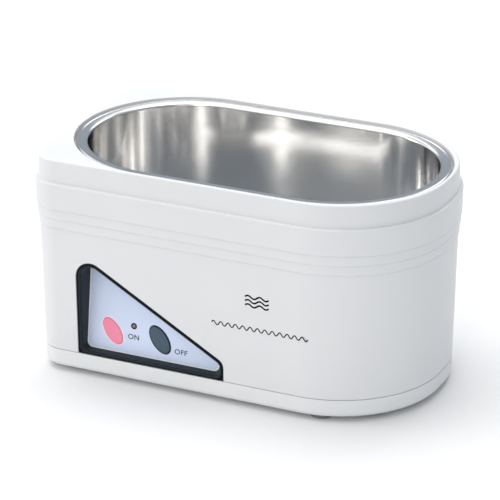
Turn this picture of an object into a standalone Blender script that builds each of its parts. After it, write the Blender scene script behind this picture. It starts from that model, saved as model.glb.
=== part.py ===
"""Small table-top ultrasonic cleaner with a drawn steel tank, as an assembly of separate pieces.

Lengths are in millimetres and become metres when a mesh is made. The frame: +X towards the round end,
-Y the front with the control window, +Z up, origin under the middle of the object on the table.
"""

from math import atan, cos, pi, radians, sin, tan

import bmesh
import bpy
from mathutils import Vector

MM = 0.001

# ---- housing: driving dimensions ----
HALF_LENGTH = 100.0          # outline at the shoulder
HALF_WIDTH = 59.7
LEFT_CORNER = 15.5           # plan radius of the two square-end corners
RIGHT_CORNER = 56.1          # plan radius of the round end
FOOT_HEIGHT = 2.4
PARTING_Z = 12.0             # joint between the housing and the base pan
SHOULDER_Z = 101.1           # ledge below the top band
DECK_Z = 112.7
STEP_LINES = (77.75, 82.85, 87.95)   # three small steps run round the body at these heights
STEP_IN = 0.45
STEP_RISE = 0.4
DRAFT = 0.019                # slope of the side walls, as a tangent
BAND_IN = 1.75               # the top band stands in from the shoulder by this much
EDGE = 1.0                   # rounding of the shoulder and deck edges
WALL = 2.2
GAP = 0.3                    # between touching pieces
STEP = 0.0001                # height of a square shoulder in a profile, so that no two rings coincide
VENT_HALF = 1.1              # half width of every ventilation slot
REAR_VENTS = [6.0 + 6.0 * k for k in range(7)]
REAR_VENT_Z = (24.0, 44.0)

# ---- base pan ----
PAN_BOTTOM_Z = FOOT_HEIGHT
PAN_FLOOR_Z = PAN_BOTTOM_Z + WALL
PAN_FILLET = 3.0
TAB_TOP_Z = 15.0             # locating tabs that stand inside the housing's lower edge
TAB = 1.6
TAB_HALF = 5.0
REAR_TABS = (-22.0, 6.0, 34.0)
FRONT_TAB = 24.0
LEFT_TABS = (-24.0, 24.0)
PAN_VENTS = [-8.0 + 8.0 * k for k in range(7)]
PAN_VENT_REACH = 15.0

# ---- tank: a stadium whose two arc centres lie on the X axis ----
ARC_X = 40.3
RECESS_R = 56.1              # pocket in the deck
FLANGE_R = 55.0
FLANGE_LIP = 1.0             # rounding of the flange's outer edge
FLANGE_SKIRT = 2.6           # how far that edge turns down
MOUTH_R = 49.2
MOUTH_LIP = 1.4              # radius between the flange and the tank's wall
SHEET = 0.8
FLANGE_Z = 111.9
TANK_DEPTH = 52.0
FLOOR_RADIUS = 6.0
HOLE_R = 50.9                # hole in the deck that the tank hangs through
POCKET_FLOOR_Z = 108.9
POCKET_BLOCK_R = 57.0
POCKET_BLOCK_Z = 106.6
SEAL_Z = (109.2, 110.8)
SEAL_R = (51.2, 53.8)

# ---- control window, in the X-Z plane of the front wall ----
WINDOW_LEFT = -73.7
WINDOW_RIGHT = 5.1
WINDOW_RIGHT_HEIGHT = 9.7
WINDOW_SLOPE = radians(30.0)
WINDOW_TOP_RADIUS = 8.0
WINDOW_RIGHT_RADIUS = 5.0
WINDOW_INNER_CORNER = 3.0
BEZEL_WALL = 2.1
BEZEL_BOTTOM_WALL = 1.6
BEZEL_LIP = 0.8              # flat part of the lip, before it rounds into the recess
BEZEL_FLANGE = 2.2           # reach of the flange behind the housing's wall
BEZEL_FLANGE_THICK = 1.2
BEZEL_RIGHT_LEAN = 2.3       # the recess narrows by this much on its right side, from the lip to the panel
WINDOW_CUT = 3.6             # how deep the housing is cut for the window

# ---- control panel: a plate that leans back behind the bezel ----
PANEL_FOOT_Z = 12.4          # height of the panel frame's origin
PANEL_DEPTH = 5.4            # from the front wall to the panel at that height
PANEL_LEAN = atan(0.131)
PANEL_THICK = 2.0
BUTTON_V = 11.9              # height of both buttons up the panel
ON_U = -57.9
OFF_U = -32.0
LED_U = -46.5
LED_V = 16.3
BUTTON_MAJOR = 7.75
BUTTON_MINOR = 4.35
BUTTON_SLANT = radians(38.0)
BUTTON_PROUD = 0.7
BUTTON_TRAVEL = 0.6
LED_RADIUS = 1.5
SWITCH_TOP = -5.9            # along the panel's outward normal
SWITCH_SIZE = 6.0
SWITCH_HEIGHT = 3.5
PLUNGER_RADIUS = 1.75
BOARD_THICK = 1.6
CONTROL_BOARD_TOP = SWITCH_TOP - SWITCH_HEIGHT - GAP
CONTROL_POSTS = ((-67.0, 5.0), (-13.0, 5.0), (-47.0, 24.0))
CONTROL_POST_R = 2.3
CONTROL_PILOT_R = 1.3
STEM_R = 1.9                 # stem of a key, that presses on its switch
STEM_LENGTH = 2.2

# ---- fasteners and feet ----
BASE_SCREWS = ((-88.2, 47.8), (-88.2, -47.8), (76.1, 35.7), (76.1, -35.7))
BOSS_RADIUS = 5.5            # boss in the housing
BOSS_TOP_Z = 40.0
PILOT_R = 1.6
PILOT_TOP_Z = 26.0
POST_R = 3.9                 # post in the pan, under the boss
HEAD_WELL_R = 3.3
HEAD_WELL_Z = 7.3
SHANK_HOLE_R = 1.7
FEET = {"rear_left": (-80.0, 44.0), "front_left": (-80.0, -44.0), "rear_right": (53.0, 46.0),
        "front_right": (53.0, -46.0)}
FOOT_RADIUS = 6.2
FOOT_EDGE = 0.6
FOOT_STEM = 2.4
FOOT_STEM_Z = 7.0

# ---- driver board ----
BOARD_X = (-36.0, 72.0)
BOARD_HALF_Y = 32.0
BOARD_Z = 10.9
BOARD_TOP_Z = BOARD_Z + BOARD_THICK
PART_Z = BOARD_TOP_Z + GAP   # underside of the parts on the board
BOARD_SCREWS = ((-32.5, 28.5), (-32.5, -28.5), (68.5, 28.5), (68.5, -28.5))
BOARD_POST_R = 3.0
BOARD_PILOT_R = 1.4

# ---- transducer, stacked down from the tank's floor ----
TRANSDUCER_R = 19.0
FRONT_MASS_R = 22.5
FRONT_MASS_H = 14.0
PIEZO_H = 5.0
PIEZO_BORE = 7.5
ELECTRODE_H = 0.5
BACK_MASS_H = 10.0
BOLT_R = 4.8
BOLT_HEAD_R = 8.0
BOLT_HEAD_H = 5.0

# ---- mains inlet in the rear wall ----
INLET_X = -55.0
INLET_Z = 27.0
INLET_HALF = (10.2, 6.7)
INLET_FACE = (13.0, 9.0)
INLET_DEPTH = 18.0
INLET_PIN_X = 4.3
INLET_PIN_R = 1.2


# =====================================================================================================
# outlines
# =====================================================================================================

def rounded_polygon(corners, radii, segments):
    """Points round a counter-clockwise polygon whose corners are arcs."""
    points = []
    count = len(corners)
    for i in range(count):
        corner = Vector(corners[i])
        before = (Vector(corners[i - 1]) - corner).normalized()
        after = (Vector(corners[(i + 1) % count]) - corner).normalized()
        half = before.angle(after) / 2.0
        centre = corner + (before + after).normalized() * (radii[i] / sin(half))
        start = corner + before * (radii[i] / tan(half)) - centre
        sweep = pi - 2.0 * half
        steps = segments[i]
        for k in range(steps + 1):
            turn = sweep * k / steps
            x = start.x * cos(turn) - start.y * sin(turn)
            y = start.x * sin(turn) + start.y * cos(turn)
            points.append(tuple(centre + Vector((x, y))))
    return points


def inset_polygon(corners, distances):
    """Moves each edge of a counter-clockwise polygon inwards by its own distance."""
    count = len(corners)
    lines = []
    for i in range(count):
        a = Vector(corners[i])
        direction = (Vector(corners[(i + 1) % count]) - a).normalized()
        inward = Vector((-direction.y, direction.x))
        lines.append((a + inward * distances[i], direction))
    moved = []
    for i in range(count):
        p, d = lines[i - 1]
        q, e = lines[i]
        t = (q - p).cross(e) / d.cross(e)
        moved.append(tuple(p + d * t))
    return moved


def body_outline(inset):
    """The housing's plan: square left end with round corners, round right end."""
    length = HALF_LENGTH - inset
    width = HALF_WIDTH - inset
    corners = [(-length, -width), (length, -width), (length, width), (-length, width)]
    left = max(LEFT_CORNER - inset, 1.0)
    right = RIGHT_CORNER - inset
    return rounded_polygon(corners, [left, right, right, left], [3, 10, 10, 3])


def stadium(radius, sides=9):
    """The tank's plan at one radius."""
    length = ARC_X + radius
    corners = [(-length, -radius), (length, -radius), (length, radius), (-length, radius)]
    return rounded_polygon(corners, [radius * 0.9999] * 4, [sides] * 4)


def window_outline(inset, bottom_inset, corner, right_lean=0.0):
    """The control window's outline in (x, z), each edge moved inwards; a negative inset makes it larger."""
    right_top = PARTING_Z + WINDOW_RIGHT_HEIGHT
    left_top = right_top + (WINDOW_RIGHT - WINDOW_LEFT) * tan(WINDOW_SLOPE)
    corners = [(WINDOW_LEFT, PARTING_Z), (WINDOW_RIGHT, PARTING_Z),
               (WINDOW_RIGHT, right_top), (WINDOW_LEFT, left_top)]
    corners = inset_polygon(corners, [bottom_inset, inset + right_lean, inset, inset])
    radii = [corner, corner, WINDOW_RIGHT_RADIUS - inset, WINDOW_TOP_RADIUS - inset]
    return rounded_polygon(corners, radii, [3, 3, 4, 6])


def slanted_ellipse(grow, sides=20):
    """A button's outline on the panel, its long axis leaning left, enlarged all round by grow."""
    points = []
    for k in range(sides):
        turn = 2.0 * pi * k / sides
        along = (BUTTON_MAJOR + grow) * cos(turn)
        across = (BUTTON_MINOR + grow) * sin(turn)
        points.append((-along * sin(BUTTON_SLANT) - across * cos(BUTTON_SLANT),
                       along * cos(BUTTON_SLANT) - across * sin(BUTTON_SLANT)))
    return points


def circle(radius, sides=16, centre=(0.0, 0.0)):
    return [(centre[0] + radius * cos(2.0 * pi * k / sides), centre[1] + radius * sin(2.0 * pi * k / sides))
            for k in range(sides)]


def rectangle(half_x, half_y, centre=(0.0, 0.0)):
    x, y = centre
    return [(x - half_x, y - half_y), (x + half_x, y - half_y),
            (x + half_x, y + half_y), (x - half_x, y + half_y)]


def at_height(outline, z):
    return [(x, y, z) for x, y in outline]


def wall_inset(z):
    """How far the side wall stands in from the shoulder's outline at height z."""
    steps = sum(1 for line in STEP_LINES if z < line)
    return DRAFT * (SHOULDER_Z - z) + STEP_IN * steps


def front_y(z):
    """Y of the front wall's outer face at height z below the step lines."""
    return -(HALF_WIDTH - STEP_IN * len(STEP_LINES) - DRAFT * (SHOULDER_Z - z))


def panel_y(z):
    """Y of the control panel's front face at height z."""
    return front_y(PANEL_FOOT_Z) + PANEL_DEPTH + (z - PANEL_FOOT_Z) * tan(PANEL_LEAN)


# =====================================================================================================
# meshes, objects and cuts
# =====================================================================================================

def skin(rings, closed=False):
    """A closed body over equal rings of points: its ends are capped, or joined to each other if closed."""
    bm = bmesh.new()
    loops = [[bm.verts.new(point) for point in ring] for ring in rings]
    pairs = list(zip(loops, loops[1:]))
    if closed:
        pairs.append((loops[-1], loops[0]))
    else:
        bm.faces.new(loops[0])
        bm.faces.new(loops[-1])
    for low, high in pairs:
        for i in range(len(low)):
            j = (i + 1) % len(low)
            bm.faces.new((low[i], low[j], high[j], high[i]))
    return bm


def prism(outline, low, high):
    return skin([at_height(outline, low), at_height(outline, high)])


def box(low, high):
    half_x = (high[0] - low[0]) / 2.0
    half_y = (high[1] - low[1]) / 2.0
    centre = ((high[0] + low[0]) / 2.0, (high[1] + low[1]) / 2.0)
    return prism(rectangle(half_x, half_y, centre), low[2], high[2])


def turned(profile, sides=16, closed=False):
    """A body turned about Z from (radius, height) points, solid, or a ring if closed."""
    return skin([at_height(circle(radius, sides), z) for radius, z in profile], closed)


def joined(parts):
    """Several separate bodies in one bmesh, for a cutter that cuts in several places."""
    bm = bmesh.new()
    for part in parts:
        mesh = bpy.data.meshes.new("part")
        part.to_mesh(mesh)
        part.free()
        bm.from_mesh(mesh)
        bpy.data.meshes.remove(mesh)
    return bm


def shifted(bm, x, y, z=0.0):
    bmesh.ops.translate(bm, vec=(x, y, z), verts=bm.verts)
    return bm


def material(name, colour, roughness, metallic=0.0):
    made = bpy.data.materials.get(name)
    if made is None:
        made = bpy.data.materials.new(name)
        made.use_nodes = True
        shader = made.node_tree.nodes["Principled BSDF"]
        shader.inputs["Base Color"].default_value = (*colour, 1.0)
        shader.inputs["Roughness"].default_value = roughness
        shader.inputs["Metallic"].default_value = metallic
    return made


def add(name, bm, finish, place=None):
    """Makes the object; place is (location in mm, rotation about X)."""
    bmesh.ops.scale(bm, vec=(MM, MM, MM), verts=bm.verts)
    bmesh.ops.recalc_face_normals(bm, faces=bm.faces)
    mesh = bpy.data.meshes.new(name)
    bm.to_mesh(mesh)
    bm.free()
    made = bpy.data.objects.new(name, mesh)
    bpy.context.scene.collection.objects.link(made)
    if finish is not None:
        mesh.materials.append(material(name, *finish))
    mesh.shade_smooth()
    mesh.set_sharp_from_angle(angle=radians(35.0))
    if place is not None:
        made.location = [value * MM for value in place[0]]
        made.rotation_euler = (place[1], 0.0, 0.0)
    return made


def combine(target, operation, bm, place=None):
    """Adds an exact Boolean to target; the tool stays in the scene as a hidden wire guide."""
    tool = add(f"guide_{target.name}_{len(target.modifiers)}", bm, None, place)
    tool.hide_render = True
    tool.display_type = "WIRE"
    step = target.modifiers.new(tool.name, "BOOLEAN")
    step.operation = operation
    step.solver = "EXACT"
    step.object = tool


def cut(target, bm, place=None):
    combine(target, "DIFFERENCE", bm, place)


def fuse_on(target, bm, place=None):
    combine(target, "UNION", bm, place)


def panel_place(u, v, w=0.0):
    """Location and rotation that put a body's +Z on the panel's outward normal, at (u, v, w) on the panel."""
    up = Vector((0.0, sin(PANEL_LEAN), cos(PANEL_LEAN)))
    out = Vector((0.0, -cos(PANEL_LEAN), sin(PANEL_LEAN)))
    origin = Vector((0.0, panel_y(PANEL_FOOT_Z), PANEL_FOOT_Z))
    return tuple(origin + Vector((u, 0.0, 0.0)) + up * v + out * w), pi / 2.0 - PANEL_LEAN


# =====================================================================================================
# finishes: colour, roughness, metallic
# =====================================================================================================

IVORY = ((0.85, 0.86, 0.86), 0.38)
STEEL = ((0.62, 0.62, 0.60), 0.22, 1.0)
DARK_PLASTIC = ((0.03, 0.035, 0.04), 0.42)
BLACK_RUBBER = ((0.05, 0.05, 0.05), 0.8)
PALE_PANEL = ((0.68, 0.73, 0.82), 0.4)
PINK = ((0.93, 0.28, 0.38), 0.45)
SLATE = ((0.08, 0.11, 0.14), 0.45)
SMOKED = ((0.22, 0.17, 0.17), 0.2)
GREEN_BOARD = ((0.05, 0.25, 0.10), 0.5)
TAN_BOARD = ((0.55, 0.38, 0.16), 0.6)
ZINC = ((0.70, 0.71, 0.72), 0.35, 1.0)
ALUMINIUM = ((0.75, 0.76, 0.77), 0.4, 1.0)
CERAMIC = ((0.35, 0.33, 0.30), 0.5)
BRASS = ((0.75, 0.58, 0.25), 0.3, 1.0)
COPPER = ((0.72, 0.35, 0.18), 0.35, 1.0)
FERRITE = ((0.06, 0.06, 0.065), 0.6)
FILM_RED = ((0.45, 0.08, 0.05), 0.4)
GREY_PLASTIC = ((0.35, 0.36, 0.37), 0.5)
SILICONE = ((0.75, 0.75, 0.72), 0.6)
GLASSY = ((0.75, 0.80, 0.78), 0.1)
RED_WIRE = ((0.55, 0.03, 0.02), 0.5)
BLACK_WIRE = ((0.02, 0.02, 0.02), 0.5)
BROWN_WIRE = ((0.16, 0.07, 0.03), 0.5)
BLUE_WIRE = ((0.03, 0.10, 0.40), 0.5)
GREY_WIRE = ((0.4, 0.4, 0.4), 0.5)


# =====================================================================================================
# housing, base pan and feet
# =====================================================================================================

def make_upper_housing():
    seam = PARTING_Z + GAP / 2.0
    levels = [(seam, wall_inset(seam))]
    for line in STEP_LINES:
        levels.append((line - STEP_RISE, wall_inset(line - STEP_RISE)))
        levels.append((line, wall_inset(line)))
    levels += [(SHOULDER_Z - EDGE, 0.0), (SHOULDER_Z - 0.3 * EDGE, 0.3 * EDGE), (SHOULDER_Z, EDGE)]
    levels += [(SHOULDER_Z, BAND_IN), (DECK_Z - EDGE, BAND_IN)]
    levels += [(DECK_Z - 0.3 * EDGE, BAND_IN + 0.3 * EDGE), (DECK_Z, BAND_IN + EDGE)]
    housing = add("upper_housing", skin([at_height(body_outline(i), z) for z, i in levels]), IVORY)

    low_line = STEP_LINES[0] - 1.5
    cavity = [(PARTING_Z - 4.0, wall_inset(seam) + WALL), (low_line, wall_inset(low_line) + WALL),
              (STEP_LINES[-1] + 1.0, WALL + 0.25), (SHOULDER_Z - 4.0, WALL + 0.1),
              (SHOULDER_Z - 1.6, WALL + BAND_IN), (DECK_Z - WALL, WALL + BAND_IN)]
    cut(housing, skin([at_height(body_outline(i), z) for z, i in cavity]))
    fuse_on(housing, prism(stadium(POCKET_BLOCK_R), POCKET_BLOCK_Z, DECK_Z - WALL + 1.0))
    bosses = [shifted(turned([(BOSS_RADIUS, PARTING_Z + 0.4), (BOSS_RADIUS, BOSS_TOP_Z)], 16), x, y)
              for x, y in BASE_SCREWS]
    fuse_on(housing, joined(bosses))
    cut(housing, prism(stadium(RECESS_R), POCKET_FLOOR_Z, DECK_Z + 2.0))
    cut(housing, prism(stadium(HOLE_R), POCKET_BLOCK_Z - 6.0, POCKET_FLOOR_Z + 1.0))
    pilot = [(PILOT_R, PARTING_Z - 1.0), (PILOT_R, PILOT_TOP_Z)]
    cut(housing, joined([shifted(turned(pilot, 10), x, y) for x, y in BASE_SCREWS]))

    notch = window_outline(-GAP, -4.0, 0.2)
    front = front_y(PARTING_Z)
    cut(housing, skin([[(x, front + depth, z) for x, z in notch] for depth in (-3.0, WINDOW_CUT)]))

    half_x = INLET_HALF[0] + GAP
    half_z = INLET_HALF[1] + GAP
    rear = (50.0, 60.0)          # the cutters run through the rear wall
    cutters = [box((INLET_X - half_x, rear[0], INLET_Z - half_z),
                   (INLET_X + half_x, rear[1], INLET_Z + half_z))]
    cutters += [box((x - VENT_HALF, rear[0], REAR_VENT_Z[0]), (x + VENT_HALF, rear[1], REAR_VENT_Z[1]))
                for x in REAR_VENTS]
    cut(housing, joined(cutters))


def make_base_pan():
    seam = PARTING_Z - GAP / 2.0
    levels = []
    for k in range(4):
        turn = pi / 2.0 * k / 3.0
        z = PAN_BOTTOM_Z + PAN_FILLET * (1.0 - cos(turn))
        levels.append((z, wall_inset(z) + PAN_FILLET * (1.0 - sin(turn))))
    levels.append((seam, wall_inset(seam)))
    pan = add("base_pan", skin([at_height(body_outline(i), z) for z, i in levels]), IVORY)
    inner = wall_inset(seam) + WALL
    cavity = [(PAN_FLOOR_Z, inner + 1.2), (PAN_FLOOR_Z + 1.5, inner), (PARTING_Z + 2.0, inner)]
    cut(pan, skin([at_height(body_outline(i), z) for z, i in cavity]))

    # locating tabs, clear of the bosses and the control window
    side = HALF_WIDTH - inner - GAP
    end = HALF_LENGTH - inner - GAP
    root = PAN_FLOOR_Z - 1.0
    tabs = [box((x - TAB_HALF, side - TAB, root), (x + TAB_HALF, side, TAB_TOP_Z)) for x in REAR_TABS]
    tabs += [box((FRONT_TAB - TAB_HALF, -side, root), (FRONT_TAB + TAB_HALF, TAB - side, TAB_TOP_Z))]
    tabs += [box((-end, y - TAB_HALF, root), (TAB - end, y + TAB_HALF, TAB_TOP_Z)) for y in LEFT_TABS]
    fuse_on(pan, joined(tabs))

    screw_post = [(POST_R, root), (POST_R, seam - GAP)]
    board_post = [(BOARD_POST_R, root), (BOARD_POST_R, BOARD_Z - GAP)]
    posts = [shifted(turned(screw_post, 14), x, y) for x, y in BASE_SCREWS]
    posts += [shifted(turned(board_post, 12), x, y) for x, y in BOARD_SCREWS]
    fuse_on(pan, joined(posts))

    well = [(HEAD_WELL_R, 0.0), (HEAD_WELL_R, HEAD_WELL_Z),
            (SHANK_HOLE_R, HEAD_WELL_Z + STEP), (SHANK_HOLE_R, PARTING_Z + 2.0)]
    board_pilot = [(BOARD_PILOT_R, 6.0), (BOARD_PILOT_R, 12.0)]
    foot_hole = [(FOOT_STEM + GAP, 0.0), (FOOT_STEM + GAP, 6.0)]
    holes = [shifted(turned(well, 12), x, y) for x, y in BASE_SCREWS]
    holes += [shifted(turned(board_pilot, 8), x, y) for x, y in BOARD_SCREWS]
    holes += [shifted(turned(foot_hole, 12), x, y) for x, y in FEET.values()]
    reach = PAN_VENT_REACH
    holes += [box((x - VENT_HALF, -reach, 0.0), (x + VENT_HALF, reach, 6.0)) for x in PAN_VENTS]
    cut(pan, joined(holes))


def make_feet():
    top = PAN_BOTTOM_Z - GAP
    profile = [(FOOT_RADIUS - FOOT_EDGE, 0.0), (FOOT_RADIUS, FOOT_EDGE), (FOOT_RADIUS, top),
               (FOOT_STEM, top + STEP), (FOOT_STEM, FOOT_STEM_Z)]
    for name, (x, y) in FEET.items():
        add(f"foot_{name}", shifted(turned(profile, 14), x, y), BLACK_RUBBER)


def screw(name, x, y, head_z, head_radius, head_height, shank_radius, length, up=1.0, place=None):
    """A pan-head screw; its head's bearing face is at head_z and its shank points up or down."""
    profile = [(head_radius, head_z - up * head_height), (head_radius, head_z),
               (shank_radius, head_z + up * STEP), (shank_radius, head_z + up * length)]
    return add(name, shifted(turned(profile, 10), x, y), ZINC, place)


def make_base_screws():
    for k, (x, y) in enumerate(BASE_SCREWS):
        made = screw(f"base_screw_{k + 1}", x, y, 7.0, 2.9, 2.0, 1.3, 17.0)
        cut(made, box((x - 2.2, y - 0.4, 4.0), (x + 2.2, y + 0.4, 5.8)))


# =====================================================================================================
# tank and seal
# =====================================================================================================

def tank_profile(offset):
    """The drawn sheet's inner face as (radius, height); offset 1 gives the outer face, one sheet away."""
    away = SHEET * offset
    edge = FLANGE_R - away
    face = FLANGE_Z - away
    wall = MOUTH_R + away
    floor = FLANGE_Z - TANK_DEPTH - away
    turns = [pi / 4.0 * k for k in range(3)]
    points = [(edge, FLANGE_Z - FLANGE_SKIRT)]
    rounding = max(FLANGE_LIP - away, 0.2)
    points += [(edge - rounding * (1.0 - cos(turn)), face - rounding * (1.0 - sin(turn))) for turn in turns]
    rounding = MOUTH_LIP - away
    points += [(wall + rounding * (1.0 - sin(turn)), face - rounding * (1.0 - cos(turn))) for turn in turns]
    rounding = FLOOR_RADIUS + away
    points += [(wall - rounding * (1.0 - cos(turn)), floor + rounding * (1.0 - sin(turn))) for turn in turns]
    return points


def make_tank():
    inside = [at_height(stadium(r), z) for r, z in tank_profile(0.0)]
    outside = [at_height(stadium(r), z) for r, z in tank_profile(1.0)]
    # the sheet's skin runs over the outer face, round the flange's edge and down the inner face
    add("wash_tank", skin(list(reversed(outside)) + inside), STEEL)


def make_seal():
    low, high = SEAL_Z
    inner, outer = SEAL_R
    rings = [at_height(stadium(r), z) for r, z in ((inner, low), (outer, low), (outer, high), (inner, high))]
    add("tank_seal", skin(rings, closed=True), SILICONE)


# =====================================================================================================
# transducer
# =====================================================================================================

def make_transducer():
    top = FLANGE_Z - TANK_DEPTH - SHEET - GAP
    mass = add("transducer_front_mass",
               turned([(TRANSDUCER_R, top - FRONT_MASS_H), (TRANSDUCER_R, top - FRONT_MASS_H + 4.0),
                       (FRONT_MASS_R, top - 2.0), (FRONT_MASS_R, top)], 22), ALUMINIUM)
    cut(mass, turned([(BOLT_R + GAP, top - FRONT_MASS_H - 1.0), (BOLT_R + GAP, top - 4.0)], 16))
    z = top - FRONT_MASS_H - GAP
    for name, tab, finish in (("upper", 1.0, COPPER), ("lower", -1.0, BRASS)):
        ring = [(PIEZO_BORE, z), (TRANSDUCER_R, z), (TRANSDUCER_R, z - PIEZO_H), (PIEZO_BORE, z - PIEZO_H)]
        add(f"piezo_ring_{name}", turned(ring, 22, closed=True), CERAMIC)
        z -= PIEZO_H + GAP
        bore = PIEZO_BORE - 1.0
        ring = [(bore, z), (TRANSDUCER_R, z), (TRANSDUCER_R, z - ELECTRODE_H), (bore, z - ELECTRODE_H)]
        electrode = add(f"electrode_{name}", turned(ring, 22, closed=True), finish)
        ends = sorted((tab * (TRANSDUCER_R - 3.0), tab * (TRANSDUCER_R + 5.0)))
        fuse_on(electrode, box((ends[0], -2.0, z - ELECTRODE_H), (ends[1], 2.0, z)))
        z -= ELECTRODE_H + GAP
    bore = BOLT_R + 0.4
    ring = [(bore, z), (TRANSDUCER_R, z), (TRANSDUCER_R, z - BACK_MASS_H + 1.0),
            (TRANSDUCER_R - 1.0, z - BACK_MASS_H), (bore, z - BACK_MASS_H)]
    add("transducer_back_mass", turned(ring, 22, closed=True), ZINC)
    z -= BACK_MASS_H + GAP
    profile = [(BOLT_HEAD_R - 0.6, z - BOLT_HEAD_H), (BOLT_HEAD_R, z - BOLT_HEAD_H + 0.6), (BOLT_HEAD_R, z),
               (BOLT_R, z + STEP), (BOLT_R, top - 5.0)]
    bolt = add("preload_bolt", turned(profile, 20), ZINC)
    cut(bolt, turned([(4.0, z - BOLT_HEAD_H - 1.0), (4.0, z - BOLT_HEAD_H + 3.0)], 6))


# =====================================================================================================
# control window: bezel, panel, buttons, lamp and their board
# =====================================================================================================

def make_bezel():
    def ring(inset, depth, flange=0.0, right_lean=0.0):
        share = max(inset, 0.0) / BEZEL_WALL
        at_bottom = GAP + share * BEZEL_BOTTOM_WALL
        corner = 0.25 + share * (WINDOW_INNER_CORNER - 0.25)
        outline = window_outline(inset - flange, at_bottom, corner, right_lean)
        return [(x, front_y(z) + depth, z) for x, z in outline]

    def back_ring(inset, right_lean=0.0):
        return [(x, panel_y(z) - GAP / cos(PANEL_LEAN), z) for x, _, z in ring(inset, 0.0, 0.0, right_lean)]

    behind = WALL + GAP
    rear = behind + BEZEL_FLANGE_THICK
    rings = [ring(0.0, 0.0), ring(0.0, behind), ring(0.0, behind, BEZEL_FLANGE),
             ring(0.0, rear, BEZEL_FLANGE), ring(0.0, rear + STEP), back_ring(0.0),
             back_ring(BEZEL_WALL, BEZEL_RIGHT_LEAN)]
    rounding = BEZEL_WALL - BEZEL_LIP
    for k in range(4):
        turn = pi / 2.0 * k / 3.0
        rings.append(ring(BEZEL_WALL - rounding * (1.0 - cos(turn)), rounding * (1.0 - sin(turn))))
    add("window_bezel", skin(rings, closed=True), DARK_PLASTIC)


def panel_outline():
    """The panel plate's outline in panel coordinates, just inside the bezel's outer outline."""
    outline = window_outline(0.6, 0.6, 2.0)
    return [(x, (z - PANEL_FOOT_Z) / cos(PANEL_LEAN)) for x, z in outline]


def make_panel():
    place = panel_place(0.0, 0.0)
    panel = add("control_panel", prism(panel_outline(), -PANEL_THICK, 0.0), PALE_PANEL, place)
    post = [(CONTROL_POST_R, CONTROL_BOARD_TOP + GAP), (CONTROL_POST_R, -PANEL_THICK + 0.5)]
    fuse_on(panel, joined([shifted(turned(post, 12), u, v) for u, v in CONTROL_POSTS]), place)
    through = (-PANEL_THICK - 1.0, 1.0)
    holes = [shifted(prism(slanted_ellipse(0.35), *through), u, BUTTON_V) for u in (ON_U, OFF_U)]
    holes.append(shifted(prism(circle(LED_RADIUS + GAP, 16), *through), LED_U, LED_V))
    pilot = [(CONTROL_PILOT_R, CONTROL_BOARD_TOP - 1.0), (CONTROL_PILOT_R, -PANEL_THICK - 1.0)]
    holes += [shifted(turned(pilot, 10), u, v) for u, v in CONTROL_POSTS]
    cut(panel, joined(holes), place)


def make_buttons():
    for name, u, finish in (("on", ON_U, PINK), ("off", OFF_U, SLATE)):
        place = panel_place(u, BUTTON_V)
        back = -PANEL_THICK - GAP
        # a retaining rim behind the panel, then the key's side and its rounded edge
        levels = [(1.2, back - 1.0), (1.2, back), (0.0, back + STEP), (0.0, BUTTON_PROUD - 0.5),
                  (-0.2, BUTTON_PROUD - 0.15), (-0.7, BUTTON_PROUD)]
        rings = [at_height(slanted_ellipse(grow), w) for grow, w in levels]
        button = add(f"{name}_button", skin(rings), finish, place)
        stem_end = back - STEM_LENGTH
        fuse_on(button, turned([(STEM_R, stem_end), (STEM_R, back - 0.5)], 14), place)

        plunger_top = stem_end - GAP
        plunger_end = SWITCH_TOP - 1.3
        add(f"{name}_switch_plunger",
            turned([(PLUNGER_RADIUS, plunger_end), (PLUNGER_RADIUS, plunger_top)], 14), DARK_PLASTIC, place)
        half = SWITCH_SIZE / 2.0
        case = box((-half, -half, SWITCH_TOP - SWITCH_HEIGHT), (half, half, SWITCH_TOP))
        body = add(f"{name}_switch_body", case, GREY_PLASTIC, place)
        well = plunger_end - BUTTON_TRAVEL - 0.2
        bore = PLUNGER_RADIUS + 0.25
        cut(body, turned([(bore, well), (bore, SWITCH_TOP + 1.0)], 14), place)


def make_lamp():
    place = panel_place(LED_U, LED_V)
    collar = -PANEL_THICK - GAP
    lens = [(LED_RADIUS + 0.5, -5.0), (LED_RADIUS + 0.5, collar), (LED_RADIUS, collar + STEP),
            (LED_RADIUS, -0.2), (LED_RADIUS * 0.8, 0.25), (LED_RADIUS * 0.4, 0.5)]
    add("power_lamp", turned(lens, 16), SMOKED, place)
    ring = [(1.1, -5.3), (2.0, -5.3), (2.0, CONTROL_BOARD_TOP + GAP), (1.1, CONTROL_BOARD_TOP + GAP)]
    add("lamp_spacer", turned(ring, 12, closed=True), GREY_PLASTIC, place)


def make_control_board():
    place = panel_place(0.0, 0.0)
    corners = [(-71.0, 1.5), (-9.0, 1.5), (-9.0, 12.0), (-38.0, 29.0), (-71.0, 29.0)]
    board = add("control_board",
                prism(corners, CONTROL_BOARD_TOP - BOARD_THICK, CONTROL_BOARD_TOP), GREEN_BOARD, place)
    holes = [shifted(turned([(1.4, CONTROL_BOARD_TOP - 3.0), (1.4, CONTROL_BOARD_TOP + 1.0)], 10), u, v)
             for u, v in CONTROL_POSTS]
    cut(board, joined(holes), place)
    back = CONTROL_BOARD_TOP - BOARD_THICK - GAP
    for k, (u, v) in enumerate(CONTROL_POSTS):
        screw(f"control_board_screw_{k + 1}", u, v, back, 2.2, 1.4, 1.0, 7.0, place=place)


# =====================================================================================================
# driver board and what stands on it
# =====================================================================================================

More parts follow.
